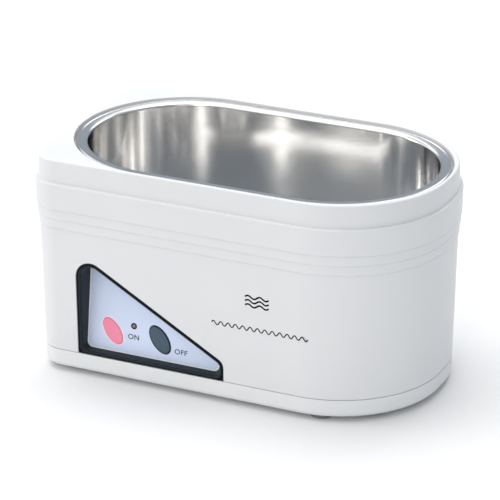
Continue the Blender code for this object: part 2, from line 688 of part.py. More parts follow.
def make_driver_board():
    board = add("driver_board",
                box((BOARD_X[0], -BOARD_HALF_Y, BOARD_Z), (BOARD_X[1], BOARD_HALF_Y, BOARD_TOP_Z)), TAN_BOARD)
    cut(board, joined([shifted(turned([(1.5, BOARD_Z - 1.0), (1.5, BOARD_TOP_Z + 1.0)], 10), x, y)
                       for x, y in BOARD_SCREWS]))
    for k, (x, y) in enumerate(BOARD_SCREWS):
        screw(f"driver_board_screw_{k + 1}", x, y, BOARD_TOP_Z + GAP, 2.4, 1.6, 1.1, 6.0, up=-1.0)


def make_transformer():
    x, y = 54.0, 8.0
    leg, window, height, depth = 4.0, 8.0, 28.0, 6.0
    side = leg + window + leg
    block = box((x - side, y - depth, PART_Z), (x + side, y + depth, PART_Z + height))
    core = add("transformer_core", block, FERRITE)
    low = PART_Z + 5.0
    high = PART_Z + height - 5.0
    cut(core, joined([box((x - leg - window, y - depth - 1.0, low), (x - leg, y + depth + 1.0, high)),
                      box((x + leg, y - depth - 1.0, low), (x + leg + window, y + depth + 1.0, high))]))
    inner = [(leg + GAP, depth + GAP), (leg + window - GAP, depth + window - GAP)]
    rings = []
    for which, z in ((0, low + GAP), (1, low + GAP), (1, high - GAP), (0, high - GAP)):
        half_x, half_y = inner[which]
        radius = 0.2 + 3.0 * which
        corners = rectangle(half_x, half_y, (x, y))
        rings.append(at_height(rounded_polygon(corners, [radius] * 4, [4] * 4), z))
    add("transformer_winding", skin(rings, closed=True), COPPER)


def make_heatsink():
    low, high = -4.0, 40.0
    plate = (25.6, 28.0)
    outline = [(low, plate[0]), (high, plate[0])]
    fins = 7
    pitch = (high - low - 1.6) / (fins - 1)
    for k in reversed(range(fins)):
        fin = low + pitch * k
        outline += [(fin + 1.6, plate[1] + 4.0), (fin, plate[1] + 4.0)]
        if k > 0:
            outline += [(fin, plate[1]), (fin - pitch + 1.6, plate[1])]
    heatsink = add("heatsink", prism(outline, PART_Z, PART_Z + 26.0), ALUMINIUM)
    x, z = 24.0, 24.0
    cut(heatsink, turned([(1.9, -2.0), (1.9, 6.0)], 12), ((x, plate[0], z + 6.0), -pi / 2.0))
    y = plate[0] - GAP
    case = box((x - 5.0, y - 4.4, PART_Z + 2.0), (x + 5.0, y - 1.4, PART_Z + 11.5))
    body = add("power_transistor", case, FERRITE)
    fuse_on(body, box((x - 4.8, y - 1.6, PART_Z + 2.5), (x + 4.8, y, z + 10.0)))
    cut(body, turned([(1.9, -6.0), (1.9, 2.0)], 12), ((x, y, z + 6.0), -pi / 2.0))
    head = y - 1.6 - GAP
    shank = [(2.6, -2.0), (2.6, 0.0), (1.4, STEP), (1.4, 5.0)]
    add("transistor_screw", turned(shank, 14), ZINC, ((x, head, z + 6.0), -pi / 2.0))


def make_board_parts():
    can = [(7.4, 0.0), (8.0, 0.8), (8.0, 2.2), (7.5, 2.8), (8.0, 3.4), (8.0, 25.0), (7.3, 25.6)]
    add("filter_capacitor", shifted(turned([(r, PART_Z + z) for r, z in can], 20), 50.0, -20.0), BLUE_WIRE)
    outline = rounded_polygon(rectangle(9.0, 4.0, (-17.0, 25.0)), [1.2] * 4, [3] * 4)
    add("film_capacitor", prism(outline, PART_Z, PART_Z + 14.0), FILM_RED)

    tube = 3.4
    ring_radius = 6.4
    section = circle(tube, 6, (ring_radius, PART_Z + tube))
    add("toroid_choke", shifted(turned(section, 16, closed=True), -20.0, -20.0), COPPER)

    x, y, z = 18.0, -26.5, PART_Z + 4.6
    half = 10.0
    cap = 2.6
    fuse = [(cap, -half), (cap, -half + 5.0), (cap - 0.25, -half + 5.2),
            (cap - 0.25, half - 5.2), (cap, half - 5.0), (cap, half)]
    tube_mesh = turned(fuse, 16)
    bmesh.ops.rotate(tube_mesh, cent=(0.0, 0.0, 0.0), matrix=Vector((0.0, 0.0, 1.0)).rotation_difference(
        Vector((1.0, 0.0, 0.0))).to_matrix(), verts=tube_mesh.verts)
    add("fuse", shifted(tube_mesh, x, y, z), GLASSY)
    reach = cap + GAP
    plate = 0.6
    arms = [(reach + plate, -4.6), (reach + plate, 1.5), (reach, 1.5), (reach, -4.0),
            (-reach, -4.0), (-reach, 1.5), (-reach - plate, 1.5), (-reach - plate, -4.6)]
    for name, offset in (("left", -half + 0.3), ("right", half - 4.7)):
        rings = [[(x + offset + along, y + across, z + up) for across, up in arms] for along in (0.0, 4.4)]
        add(f"fuse_clip_{name}", skin(rings), BRASS)


# =====================================================================================================
# mains inlet
# =====================================================================================================

def make_inlet():
    seat = -front_y(INLET_Z) + 0.5
    place = ((INLET_X, seat, INLET_Z), -pi / 2.0)
    face = rounded_polygon(rectangle(*INLET_FACE), [2.0] * 4, [3] * 4)
    inlet = add("mains_inlet", prism(face, 0.0, 1.7), DARK_PLASTIC, place)
    body = rounded_polygon(rectangle(*INLET_HALF), [1.5] * 4, [3] * 4)
    fuse_on(inlet, prism(body, -INLET_DEPTH, 0.5), place)
    socket = rounded_polygon(rectangle(8.4, 4.3), [4.29] * 4, [5] * 4)
    cut(inlet, prism(socket, -12.0, 3.0), place)
    bore = [(INLET_PIN_R + GAP, -INLET_DEPTH - 1.0), (INLET_PIN_R + GAP, -11.0)]
    cut(inlet, joined([shifted(turned(bore, 10), x, 0.0) for x in (-INLET_PIN_X, INLET_PIN_X)]), place)
    tail = INLET_DEPTH + 4.0
    pin = [(INLET_PIN_R, -tail), (INLET_PIN_R, -2.8), (INLET_PIN_R * 0.5, -2.0)]
    for name, x in (("line", -INLET_PIN_X), ("neutral", INLET_PIN_X)):
        add(f"inlet_pin_{name}", shifted(turned(pin, 12), x, 0.0), BRASS, place)
    return seat - tail


# =====================================================================================================
# wires that the housing holds inside
# =====================================================================================================

def smooth(points, steps=4):
    """A Catmull-Rom curve through the route's points."""
    path = [Vector(p) for p in points]
    path = [path[0] * 2.0 - path[1]] + path + [path[-1] * 2.0 - path[-2]]
    out = []
    for a, b, c, d in zip(path, path[1:], path[2:], path[3:]):
        for k in range(steps):
            t = k / steps
            out.append(0.5 * (2.0 * b + (c - a) * t + (2.0 * a - 5.0 * b + 4.0 * c - d) * t * t
                              + (3.0 * b - a - 3.0 * c + d) * t * t * t))
    out.append(path[-2])
    return out


def wire(name, points, radius, finish):
    route = smooth(points)
    curve = bpy.data.curves.new(name, "CURVE")
    curve.dimensions = "3D"
    curve.bevel_depth = radius * MM
    curve.bevel_resolution = 2
    curve.use_fill_caps = True
    spline = curve.splines.new("POLY")
    spline.points.add(len(route) - 1)
    for point, place in zip(spline.points, route):
        point.co = (place.x * MM, place.y * MM, place.z * MM, 1.0)
    made = bpy.data.objects.new(name, curve)
    bpy.context.scene.collection.objects.link(made)
    curve.materials.append(material(name, *finish))


def make_wires(pin_end_y):
    pad = BOARD_TOP_Z + 0.5
    start = pin_end_y - GAP
    line_x = INLET_X - INLET_PIN_X
    neutral_x = INLET_X + INLET_PIN_X
    wire("mains_lead_line", [(line_x, start, INLET_Z), (line_x, start - 4.0, INLET_Z), (-56.0, 20.0, 22.0),
                             (-45.0, 8.0, 19.0), (-36.0, 4.0, 18.0), (-33.0, 4.0, 16.0), (-33.0, 4.0, pad)],
         1.0, BROWN_WIRE)
    wire("mains_lead_neutral", [(neutral_x, start, INLET_Z), (neutral_x, start - 4.0, INLET_Z),
                                (-46.0, 22.0, 22.0), (-38.0, 14.0, 19.0), (-33.0, 12.0, 16.5),
                                (-33.0, 12.0, pad)], 1.0, BLUE_WIRE)
    tab = TRANSDUCER_R + 5.0 + GAP
    top = FLANGE_Z - TANK_DEPTH - SHEET - GAP
    upper = top - FRONT_MASS_H - GAP - PIEZO_H - GAP - ELECTRODE_H / 2.0
    lower = upper - ELECTRODE_H - 2.0 * GAP - PIEZO_H
    wire("transducer_lead_drive", [(tab, 0.0, upper), (tab + 3.5, 0.0, upper - 2.0), (32.0, 1.0, 30.0),
                                   (31.0, 2.0, 20.0), (30.0, 2.0, pad)], 0.9, RED_WIRE)
    wire("transducer_lead_ground", [(-tab, 0.0, lower), (-tab - 3.5, -1.0, lower - 2.0), (-29.5, -3.0, 24.0),
                                    (-28.0, -4.0, 18.0), (-28.0, -4.0, pad)], 0.9, BLACK_WIRE)
    wire("control_cable", [(-30.0, -37.6, 20.0), (-27.0, -35.6, 20.0), (-16.0, -33.6, 18.5),
                           (-6.0, -31.0, 18.0), (0.0, -28.5, 16.5), (0.5, -28.0, pad)], 1.2, GREY_WIRE)


def main():
    for old in list(bpy.data.objects):
        bpy.data.objects.remove(old, do_unlink=True)
    make_upper_housing()
    make_base_pan()
    make_feet()
    make_base_screws()
    make_tank()
    make_seal()
    make_transducer()
    make_bezel()
    make_panel()
    make_buttons()
    make_lamp()
    make_control_board()
    make_driver_board()
    make_transformer()
    make_heatsink()
    make_board_parts()
    pin_end_y = make_inlet()
    make_wires(pin_end_y)
    bpy.context.view_layer.update()


main()
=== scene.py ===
"""Looks of a small table-top ultrasonic cleaner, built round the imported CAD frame.

Lengths are in millimetres and become metres when a mesh is made. The frame is the CAD's own: +X towards the
round end, -Y the front with the control window, +Z up, origin under the middle of the object on the table.
"""

from math import atan, cos, pi, radians, sin, tan

import bmesh
import bpy
from mathutils import Matrix, Vector


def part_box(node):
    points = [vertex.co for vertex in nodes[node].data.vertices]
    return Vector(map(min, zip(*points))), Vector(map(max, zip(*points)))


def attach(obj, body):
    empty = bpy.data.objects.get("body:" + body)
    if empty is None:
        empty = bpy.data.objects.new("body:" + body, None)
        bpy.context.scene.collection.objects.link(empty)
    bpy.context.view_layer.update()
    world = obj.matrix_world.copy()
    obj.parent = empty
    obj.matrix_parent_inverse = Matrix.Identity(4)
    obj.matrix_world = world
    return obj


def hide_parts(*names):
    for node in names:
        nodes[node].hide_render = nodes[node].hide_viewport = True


MM = 0.001
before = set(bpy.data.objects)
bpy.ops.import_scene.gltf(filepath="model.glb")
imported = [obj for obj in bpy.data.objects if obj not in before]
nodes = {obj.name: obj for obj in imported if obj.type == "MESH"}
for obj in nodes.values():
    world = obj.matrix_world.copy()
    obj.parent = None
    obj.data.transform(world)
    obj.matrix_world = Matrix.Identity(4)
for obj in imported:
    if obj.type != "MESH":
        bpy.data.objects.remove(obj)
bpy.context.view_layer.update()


def span(node):
    """A CAD node's lowest and highest corners in millimetres."""
    low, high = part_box(node)
    return low / MM, high / MM


housing_low, housing_high = span("upper_housing")
pan_low, pan_high = span("base_pan")
tank_low, tank_high = span("wash_tank")
inlet_low, inlet_high = span("mains_inlet")
foot_low, foot_high = span("foot_front_right")

# ---- shared ----
GAP = 0.3                            # left between touching pieces
HOLD = 2.0                           # a ring this far from an edge keeps the shading flat between them
STEP = 0.0001                        # height of a square shoulder in a profile, so that no two rings coincide
HAIR = 0.1
FINE = 28                            # segments of each large plan corner

# ---- housing ----
HALF_LENGTH = housing_high.x
HALF_WIDTH = housing_high.y
DECK_Z = housing_high.z
PARTING_Z = housing_low.z - GAP / 2.0
LEFT_CORNER = 15.5                   # plan radius of the two square-end corners
RIGHT_CORNER = 56.1                  # plan radius of the round end
SHOULDER_Z = 101.1                   # ledge below the top band
STEP_LINES = (77.75, 82.85, 87.95)   # three small steps run round the body at these heights
STEP_IN = 0.45
STEP_RISE = 0.4
STEP_GROOVE = 0.12                   # fine groove that shades the foot of each step
STEP_BELOW = ((0.0, -0.95), (STEP_GROOVE, -0.75), (STEP_GROOVE, -0.42), (-0.10, -0.34))
STEP_ABOVE = ((0.14, -0.28), (0.03, -0.17), (0.0, 0.0))
DRAFT = 0.019                        # slope of the side walls, as a tangent
BAND_IN = 1.75                       # the top band stands in from the shoulder by this much
BAND_LEAN = 0.22
BAND_HOLD = 1.0
LEDGE_FILLET = ((-0.25, 0.0), (-0.10, 0.06), (0.0, 0.25))
EDGE = 1.0                           # rounding of the shoulder and deck edges
DECK_EDGE_IN = BAND_IN + 0.25
SEAM_EDGE = 0.22                     # rounding of the two edges at the parting line
WALL = 2.2
INNER_LEDGE = (1.6, 4.0)             # the inside's ledge starts and ends this far under the shoulder
INNER_LEAN = 0.25
INNER_FOOT = 1.5
BOSS_RADIUS = 5.5
BOSS_GAP = 0.4
BOSS_TOP_Z = 40.0
PILOT_R = 1.6
PILOT_TOP_Z = 26.0
VENT_HALF = 1.1                      # half width of every ventilation slot
REAR_VENTS = [6.0 + 6.0 * k for k in range(7)]
REAR_VENT_Z = (24.0, 44.0)
REAR_CUT_Y = (50.0, 61.0)
INLET_HOLE = (10.5, 7.0)
INLET_HOLE_CORNER = 1.0
CUT_BELOW = -4.0                     # the window's cut runs out under the parting line
CUT_CORNER = 0.2
CUT_FLARE = 0.5                      # small chamfer of the cut's front edge
WINDOW_CUT = 3.6                     # how deep the housing is cut for the window

# ---- base pan and feet ----
PAN_BOTTOM_Z = pan_low.z
PAN_FLOOR_Z = PAN_BOTTOM_Z + WALL
PAN_FILLET = 3.0
PAN_INNER_FILLET = 1.5
TAB = 1.6                            # locating tabs that stand inside the housing's lower edge
TAB_HALF = 5.0
REAR_TABS = (-22.0, 6.0, 34.0)
FRONT_TAB = 24.0
LEFT_TABS = (-24.0, 24.0)
PAN_VENTS = [-8.0 + 8.0 * k for k in range(7)]
PAN_VENT_REACH = 15.0
BASE_SCREWS = ((-88.2, 47.8), (-88.2, -47.8), (76.1, 35.7), (76.1, -35.7))
POST_R = 3.9                         # post in the pan, under the boss
WELL_MOUTH_R = 3.9
HEAD_WELL_R = 3.3
HEAD_WELL_Z = 7.3
SHANK_HOLE_R = 1.7
BOARD_SCREWS = ((-32.5, 28.5), (-32.5, -28.5), (68.5, 28.5), (68.5, -28.5))
BOARD_POST_R = 3.0
BOARD_POST_Z = 10.6
BOARD_PILOT_R = 1.4
FEET = {"rear_left": (-80.0, 44.0), "front_left": (-80.0, -44.0), "rear_right": (53.0, 46.0),
        "front_right": (53.0, -46.0)}
FOOT_RADIUS = (foot_high.x - foot_low.x) / 2.0
FOOT_EDGE = 0.7
FOOT_STEM = 2.4
FOOT_STEM_Z = 7.0
FOOT_HOLE_R = 2.7

# ---- tank: a stadium whose two arc centres lie on the X axis ----
ARC_X = 40.3
FLANGE_R = tank_high.y
FLANGE_Z = tank_high.z
FLANGE_SKIRT = 2.6                   # how far the flange's edge turns down
BEAD = 0.9                           # rolled outer edge of the flange
DISH = 0.42                          # the flange falls by this much towards the mouth
RECESS_R = 56.1                      # pocket in the deck
RECESS_LIP = 0.3
MOUTH_R = 49.2
MOUTH_LIP = 1.4                      # radius between the flange and the tank's wall
SHEET = 0.8
TANK_FLOOR_Z = tank_low.z + SHEET
TANK_BANDS = 8                       # bands of faces up the tank's wall
FLOOR_RADIUS = 6.0
HOLE_R = 50.9                        # hole in the deck that the tank hangs through
POCKET_FLOOR_Z = 108.9
POCKET_BLOCK_R = 57.0
POCKET_BLOCK_Z = 106.6

# ---- control window in the X-Z plane of the front wall ----
WINDOW_LEFT = -73.7
WINDOW_RIGHT = 5.1
WINDOW_RIGHT_HEIGHT = 9.7
WINDOW_SLOPE = radians(30.0)
WINDOW_TOP_RADIUS = 8.0
WINDOW_RIGHT_RADIUS = 5.0
WINDOW_INNER_CORNER = 3.0
BEZEL_WALL = 2.1
BEZEL_BOTTOM_WALL = 1.6
BEZEL_EDGE = 0.25
BEZEL_LIP = 0.8                      # flat part of the lip, before it rounds into the recess
BEZEL_FLANGE = 2.2                   # reach of the flange behind the housing's wall
BEZEL_FLANGE_THICK = 1.2
BEZEL_RIGHT_LEAN = 2.3               # the recess narrows this much on its right, from lip to panel

# ---- control panel, leaning back behind the bezel ----
PANEL_FOOT_Z = 12.4                  # height of the panel frame's origin
PANEL_DEPTH = 5.4                    # from the front wall to the panel at that height
PANEL_LEAN = atan(0.131)
PANEL_THICK = 2.0
FILM = 0.12
INK = 0.04
BORDER = 0.55                        # white line round the film
BUTTON_V = 11.9                      # height of both buttons up the panel
ON_U = -57.9
OFF_U = -32.0
BUTTON_MAJOR = 7.75
BUTTON_MINOR = 4.35
BUTTON_SLANT = radians(38.0)
BUTTON_PROUD = 0.7
KEY_HOLE = 0.35                      # growths of the button's outline: hole in the plate, hole in the film,
FILM_KEY_HOLE = -0.18                # flange behind the plate, cap
KEY_FLANGE = 1.2
KEY_CAP = -0.3
KEY_RIM = 0.45
STEM_R = 1.9
STEM_LENGTH = 2.2
LED_U = -46.5
LED_V = 16.3
LED_RADIUS = 1.5
FILM_LAMP_HOLE = 0.12
LENS_R = 1.05
LENS_Z = 0.05
RING_Z = 0.16
CONTROL_BOARD_TOP = -9.7             # along the panel's outward normal
CONTROL_POSTS = ((-67.0, 5.0), (-13.0, 5.0), (-47.0, 24.0))
CONTROL_POST_R = 2.3
CONTROL_PILOT_R = 1.3

# ---- printed marks ----
WORD_SIZE = 3.6
WORD_WIDTH = 1.08
WORD_SPACING = 1.06
WORD_WEIGHT = 0.02
MARK_X = (17.4, 29.8)
MARK_Z = (55.4, 57.6, 59.8)
MARK_WIDTH = 0.85
RULE_X = (-0.4, 50.0)
RULE_Z = 43.0
RULE_WIDTH = 0.58


# =====================================================================================================
# outlines
# =====================================================================================================

def rounded_polygon(corners, radii, segments):
    """Points round a counter-clockwise polygon whose corners are arcs."""
    points = []
    count = len(corners)
    for i in range(count):
        corner = Vector(corners[i])
        before = (Vector(corners[i - 1]) - corner).normalized()
        after = (Vector(corners[(i + 1) % count]) - corner).normalized()
        half = before.angle(after) / 2.0
        centre = corner + (before + after).normalized() * (radii[i] / sin(half))
        start = corner + before * (radii[i] / tan(half)) - centre
        sweep = pi - 2.0 * half
        for k in range(segments[i] + 1):
            turn = sweep * k / segments[i]
            x = start.x * cos(turn) - start.y * sin(turn)
            y = start.x * sin(turn) + start.y * cos(turn)
            points.append(tuple(centre + Vector((x, y))))
    return points


def inset_polygon(corners, distances):
    """Moves each edge of a counter-clockwise polygon inwards by its own distance."""
    count = len(corners)
    lines = []
    for i in range(count):
        a = Vector(corners[i])
        direction = (Vector(corners[(i + 1) % count]) - a).normalized()
        inward = Vector((-direction.y, direction.x))
        lines.append((a + inward * distances[i], direction))
    moved = []
    for i in range(count):
        p, d = lines[i - 1]
        q, e = lines[i]
        t = (q - p).cross(e) / d.cross(e)
        moved.append(tuple(p + d * t))
    return moved


def body_outline(inset):
    """The housing's plan: square left end with round corners, round right end."""
    length = HALF_LENGTH - inset
    width = HALF_WIDTH - inset
    corners = [(-length, -width), (length, -width), (length, width), (-length, width)]
    left = max(LEFT_CORNER - inset, 1.0)
    right = RIGHT_CORNER - inset
    return rounded_polygon(corners, [left, right, right, left], [FINE] * 4)


def stadium(radius):
    """The tank's plan at one radius."""
    length = ARC_X + radius
    corners = [(-length, -radius), (length, -radius), (length, radius), (-length, radius)]
    return rounded_polygon(corners, [radius * 0.9999] * 4, [FINE] * 4)


def window_outline(inset, bottom_inset, corner, right_lean=0.0):
    """The control window's outline in (x, z), each edge moved inwards; a negative inset makes it larger."""
    right_top = PARTING_Z + WINDOW_RIGHT_HEIGHT
    left_top = right_top + (WINDOW_RIGHT - WINDOW_LEFT) * tan(WINDOW_SLOPE)
    corners = [(WINDOW_LEFT, PARTING_Z), (WINDOW_RIGHT, PARTING_Z),
               (WINDOW_RIGHT, right_top), (WINDOW_LEFT, left_top)]
    corners = inset_polygon(corners, [bottom_inset, inset + right_lean, inset, inset])
    radii = [corner, corner, WINDOW_RIGHT_RADIUS - inset, WINDOW_TOP_RADIUS - inset]
    return rounded_polygon(corners, radii, [8, 8, 10, 16])


def slanted_ellipse(grow, sides=64):
    """A button's outline on the panel, its long axis leaning left, enlarged all round by grow."""
    points = []
    for k in range(sides):
        turn = 2.0 * pi * k / sides
        along = (BUTTON_MAJOR + grow) * cos(turn)
        across = (BUTTON_MINOR + grow) * sin(turn)
        points.append((-along * sin(BUTTON_SLANT) - across * cos(BUTTON_SLANT),
                       along * cos(BUTTON_SLANT) - across * sin(BUTTON_SLANT)))
    return points


def circle(radius, sides=48):
    return [(radius * cos(2.0 * pi * k / sides), radius * sin(2.0 * pi * k / sides)) for k in range(sides)]


def rectangle(half_x, half_y, centre=(0.0, 0.0)):
    x, y = centre
    return [(x - half_x, y - half_y), (x + half_x, y - half_y),
            (x + half_x, y + half_y), (x - half_x, y + half_y)]


def slot_outline(x, low, high, half=VENT_HALF):
    """A slot with round ends, standing on the second axis."""
    corners = [(x - half, low), (x + half, low), (x + half, high), (x - half, high)]
    return rounded_polygon(corners, [half * 0.999] * 4, [5] * 4)


def at_height(outline, z):
    return [(x, y, z) for x, y in outline]


def bend(centre, radius, start, end, steps):
    """Points of an arc in a profile, angles in degrees."""
    points = []
    for k in range(steps + 1):
        turn = radians(start + (end - start) * k / steps)
        points.append((centre[0] + radius * cos(turn), centre[1] + radius * sin(turn)))
    return points


def wall_inset(z):
    """How far the side wall stands in from the shoulder's outline at height z."""
    steps = sum(1 for line in STEP_LINES if z < line)
    return DRAFT * (SHOULDER_Z - z) + STEP_IN * steps


def front_y(z):
    """Y of the front wall's outer face at height z below the step lines."""
    return -(HALF_WIDTH - STEP_IN * len(STEP_LINES) - DRAFT * (SHOULDER_Z - z))


def panel_y(z):
    """Y of the control panel's front face at height z."""
    return front_y(PANEL_FOOT_Z) + PANEL_DEPTH + (z - PANEL_FOOT_Z) * tan(PANEL_LEAN)


def on_panel(u=0.0, v=0.0):
    """The matrix that puts a body's +Z on the panel's outward normal at (u, v), in millimetres."""
    up = Vector((0.0, sin(PANEL_LEAN), cos(PANEL_LEAN)))
    origin = Vector((u, panel_y(PANEL_FOOT_Z), PANEL_FOOT_Z)) + up * v
    return Matrix.Translation(origin) @ Matrix.Rotation(pi / 2.0 - PANEL_LEAN, 4, "X")


# =====================================================================================================
# meshes and pieces
# =====================================================================================================

def skin(rings, closed=False):
    """A closed body over equal rings of points: its ends are capped, or joined to each other if closed."""
    bm = bmesh.new()
    loops = [[bm.verts.new(point) for point in ring] for ring in rings]
    pairs = list(zip(loops, loops[1:]))
    if closed:
        pairs.append((loops[-1], loops[0]))
    else:
        bm.faces.new(loops[0])
        bm.faces.new(loops[-1])
    for low, high in pairs:
        for i in range(len(low)):
            j = (i + 1) % len(low)
            bm.faces.new((low[i], low[j], high[j], high[i]))
    return bm


def prism(outline, low, high):
    return skin([at_height(outline, low), at_height(outline, high)])


def box(low, high):
    half_x = (high[0] - low[0]) / 2.0
    half_y = (high[1] - low[1]) / 2.0
    centre = ((high[0] + low[0]) / 2.0, (high[1] + low[1]) / 2.0)
    return prism(rectangle(half_x, half_y, centre), low[2], high[2])


def turned(profile, sides=40, closed=False):
    """A body turned about Z from (radius, height) points, solid, or a ring if closed."""
    return skin([at_height(circle(radius, sides), z) for radius, z in profile], closed)


def shifted(bm, x, y, z=0.0):
    bmesh.ops.translate(bm, vec=(x, y, z), verts=bm.verts)
    return bm


def joined(parts):
    """Several separate bodies in one bmesh."""
    bm = bmesh.new()
    for part in parts:
        mesh = bpy.data.meshes.new("part")
        part.to_mesh(mesh)
        part.free()
        bm.from_mesh(mesh)
        bpy.data.meshes.remove(mesh)
    return bm


def object_from(name, bm, place=None):
    """An object whose mesh is in place in the row frame, in metres."""
    bmesh.ops.recalc_face_normals(bm, faces=bm.faces)
    if place is not None:
        bm.transform(place)
    bmesh.ops.scale(bm, vec=(MM, MM, MM), verts=bm.verts)
    mesh = bpy.data.meshes.new(name)
    bm.to_mesh(mesh)
    bm.free()
    made = bpy.data.objects.new(name, mesh)
    bpy.context.scene.collection.objects.link(made)
    return made


def settle(target):
    """Replaces the object's mesh by what its modifiers make of it."""
    bpy.context.view_layer.update()
    graph = bpy.context.evaluated_depsgraph_get()
    mesh = bpy.data.meshes.new_from_object(target.evaluated_get(graph))
    old = target.data
    target.modifiers.clear()
    target.data = mesh
    bpy.data.meshes.remove(old)


def carve(target, operation, bm, place=None):
    tool = object_from("tool", bm, place)
    step = target.modifiers.new("carve", "BOOLEAN")
    step.operation = operation
    step.solver = "EXACT"
    step.object = tool
    settle(target)
    bpy.data.objects.remove(tool)


def finished(target, body, finish, stands_for=(), sharp=32.0):
    """Shades a piece, gives it its material and lets it ride on its body."""
    mesh = target.data
    mesh.materials.clear()
    mesh.materials.append(finish)
    mesh.shade_smooth()
    mesh.set_sharp_from_angle(angle=radians(sharp))
    weights = target.modifiers.new("weights", "WEIGHTED_NORMAL")
    weights.keep_sharp = True
    settle(target)
    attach(target, body)
    if stands_for:
        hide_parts(*stands_for)
    return target


# =====================================================================================================
# materials
# =====================================================================================================

class Finish:
    """A procedural material under construction; every texture is placed by object coordinates."""

    def __init__(self, name):
        self.material = bpy.data.materials.new(name)
        self.material.use_nodes = True
        self.tree = self.material.node_tree
        self.shader = self.tree.nodes["Principled BSDF"]
        self.place = self.tree.nodes.new("ShaderNodeTexCoord").outputs["Object"]

    def set(self, **constants):
        for name, value in constants.items():
            self.shader.inputs[name.replace("_", " ")].default_value = value
        return self

    def feed(self, name, output):
        self.tree.links.new(output, self.shader.inputs[name])
        return self

    def stretched(self, scale):
        node = self.tree.nodes.new("ShaderNodeMapping")
        node.inputs["Scale"].default_value = scale
        self.tree.links.new(self.place, node.inputs["Vector"])
        return node.outputs["Vector"]

    def noise(self, per_metre, detail=2.0, rough=0.5, stretch=None):
        node = self.tree.nodes.new("ShaderNodeTexNoise")
        node.inputs["Scale"].default_value = per_metre
        node.inputs["Detail"].default_value = detail
        node.inputs["Roughness"].default_value = rough
        self.tree.links.new(self.stretched(stretch) if stretch else self.place, node.inputs["Vector"])
        return node.outputs["Fac"]

    def remap(self, value, low, high, to_low=0.0, to_high=1.0):
        node = self.tree.nodes.new("ShaderNodeMapRange")
        for name, number in zip(("From Min", "From Max", "To Min", "To Max"), (low, high, to_low, to_high)):
            node.inputs[name].default_value = number
        self.tree.links.new(value, node.inputs["Value"])
        return node.outputs["Result"]

    def maths(self, operation, a, b):
        node = self.tree.nodes.new("ShaderNodeMath")
        node.operation = operation
        for socket, value in zip(node.inputs, (a, b)):
            if isinstance(value, float):
                socket.default_value = value
            else:
                self.tree.links.new(value, socket)
        return node.outputs["Value"]

    def blend(self, factor, first, second):
        """A colour between two; each may be a colour or another node's output."""
        node = self.tree.nodes.new("ShaderNodeMix")
        node.data_type = "RGBA"
        self.tree.links.new(factor, node.inputs[0])
        for socket, value in ((node.inputs[6], first), (node.inputs[7], second)):
            if isinstance(value, tuple):
                socket.default_value = (*value, 1.0)
            else:
                self.tree.links.new(value, socket)
        return node.outputs[2]

    def edge(self, radius, sharpness=6.0):
        """1 on edges sharper than the radius in millimetres, 0 on open faces."""
        rounded = self.tree.nodes.new("ShaderNodeBevel")
        rounded.samples = 4
        rounded.inputs["Radius"].default_value = radius * MM
        plain = self.tree.nodes.new("ShaderNodeNewGeometry")
        dot = self.tree.nodes.new("ShaderNodeVectorMath")
        dot.operation = "DOT_PRODUCT"
        self.tree.links.new(rounded.outputs["Normal"], dot.inputs[0])
        self.tree.links.new(plain.outputs["Normal"], dot.inputs[1])
        return self.remap(dot.outputs["Value"], 1.0 - 1.0 / sharpness, 1.0, 1.0, 0.0)

    def bump(self, height, depth, strength=1.0, below=None):
        """Bump with its depth in millimetres, on top of another bump if given."""
        node = self.tree.nodes.new("ShaderNodeBump")
        node.inputs["Strength"].default_value = strength
        node.inputs["Distance"].default_value = depth * MM
        self.tree.links.new(height, node.inputs["Height"])
        if below is not None:
            self.tree.links.new(below, node.inputs["Normal"])
        return node.outputs["Normal"]


def shade(colour, factor):
    return tuple(min(channel * factor, 1.0) for channel in colour)


def moulded(name, colour, roughness, grain=1500.0, grain_depth=0.012, mottle=0.03, wear_and_highlight=0.25, worn_and_highlight_tint=1.15,
            **more):
    """Moulded plastic or rubber: faint mottling, spark-eroded grain, uneven gloss, and edges lighter here and
    there, which is rubbing on most materials and a painted highlight on the white body.
    """
    finish = Finish(name)
    cloud = finish.remap(finish.noise(28.0, 3.0), 0.3, 0.7)
    specks = finish.remap(finish.noise(grain * 0.45, 2.0), 0.62, 0.8, 0.0, 0.35)
    base = finish.blend(cloud, shade(colour, 1.0 - mottle), shade(colour, 1.0 + mottle))
    base = finish.blend(specks, base, shade(colour, 1.0 - 3.0 * mottle))
    # edges lighter here and there: rubbing on most materials, a painted highlight on the white body
    wear_and_highlight_patches = finish.remap(finish.noise(160.0, 4.0), 0.4, 0.65, 0.0, wear_and_highlight)
    rubbed_and_highlit_edges = finish.maths("MULTIPLY", finish.edge(0.35), wear_and_highlight_patches)
    finish.feed("Base Color", finish.blend(rubbed_and_highlit_edges, base, shade(colour, worn_and_highlight_tint)))
    gloss = finish.remap(finish.noise(60.0, 3.0), 0.3, 0.7, roughness - 0.04, roughness + 0.05)
    finish.feed("Roughness", finish.maths("SUBTRACT", gloss, finish.maths("MULTIPLY", rubbed_and_highlit_edges, 0.25)))
    fine = finish.bump(finish.noise(grain, 2.0), grain_depth, 0.5)
    finish.feed("Normal", finish.bump(finish.noise(22.0, 2.0), 0.05, 0.35, fine))
    return finish.set(**more).material


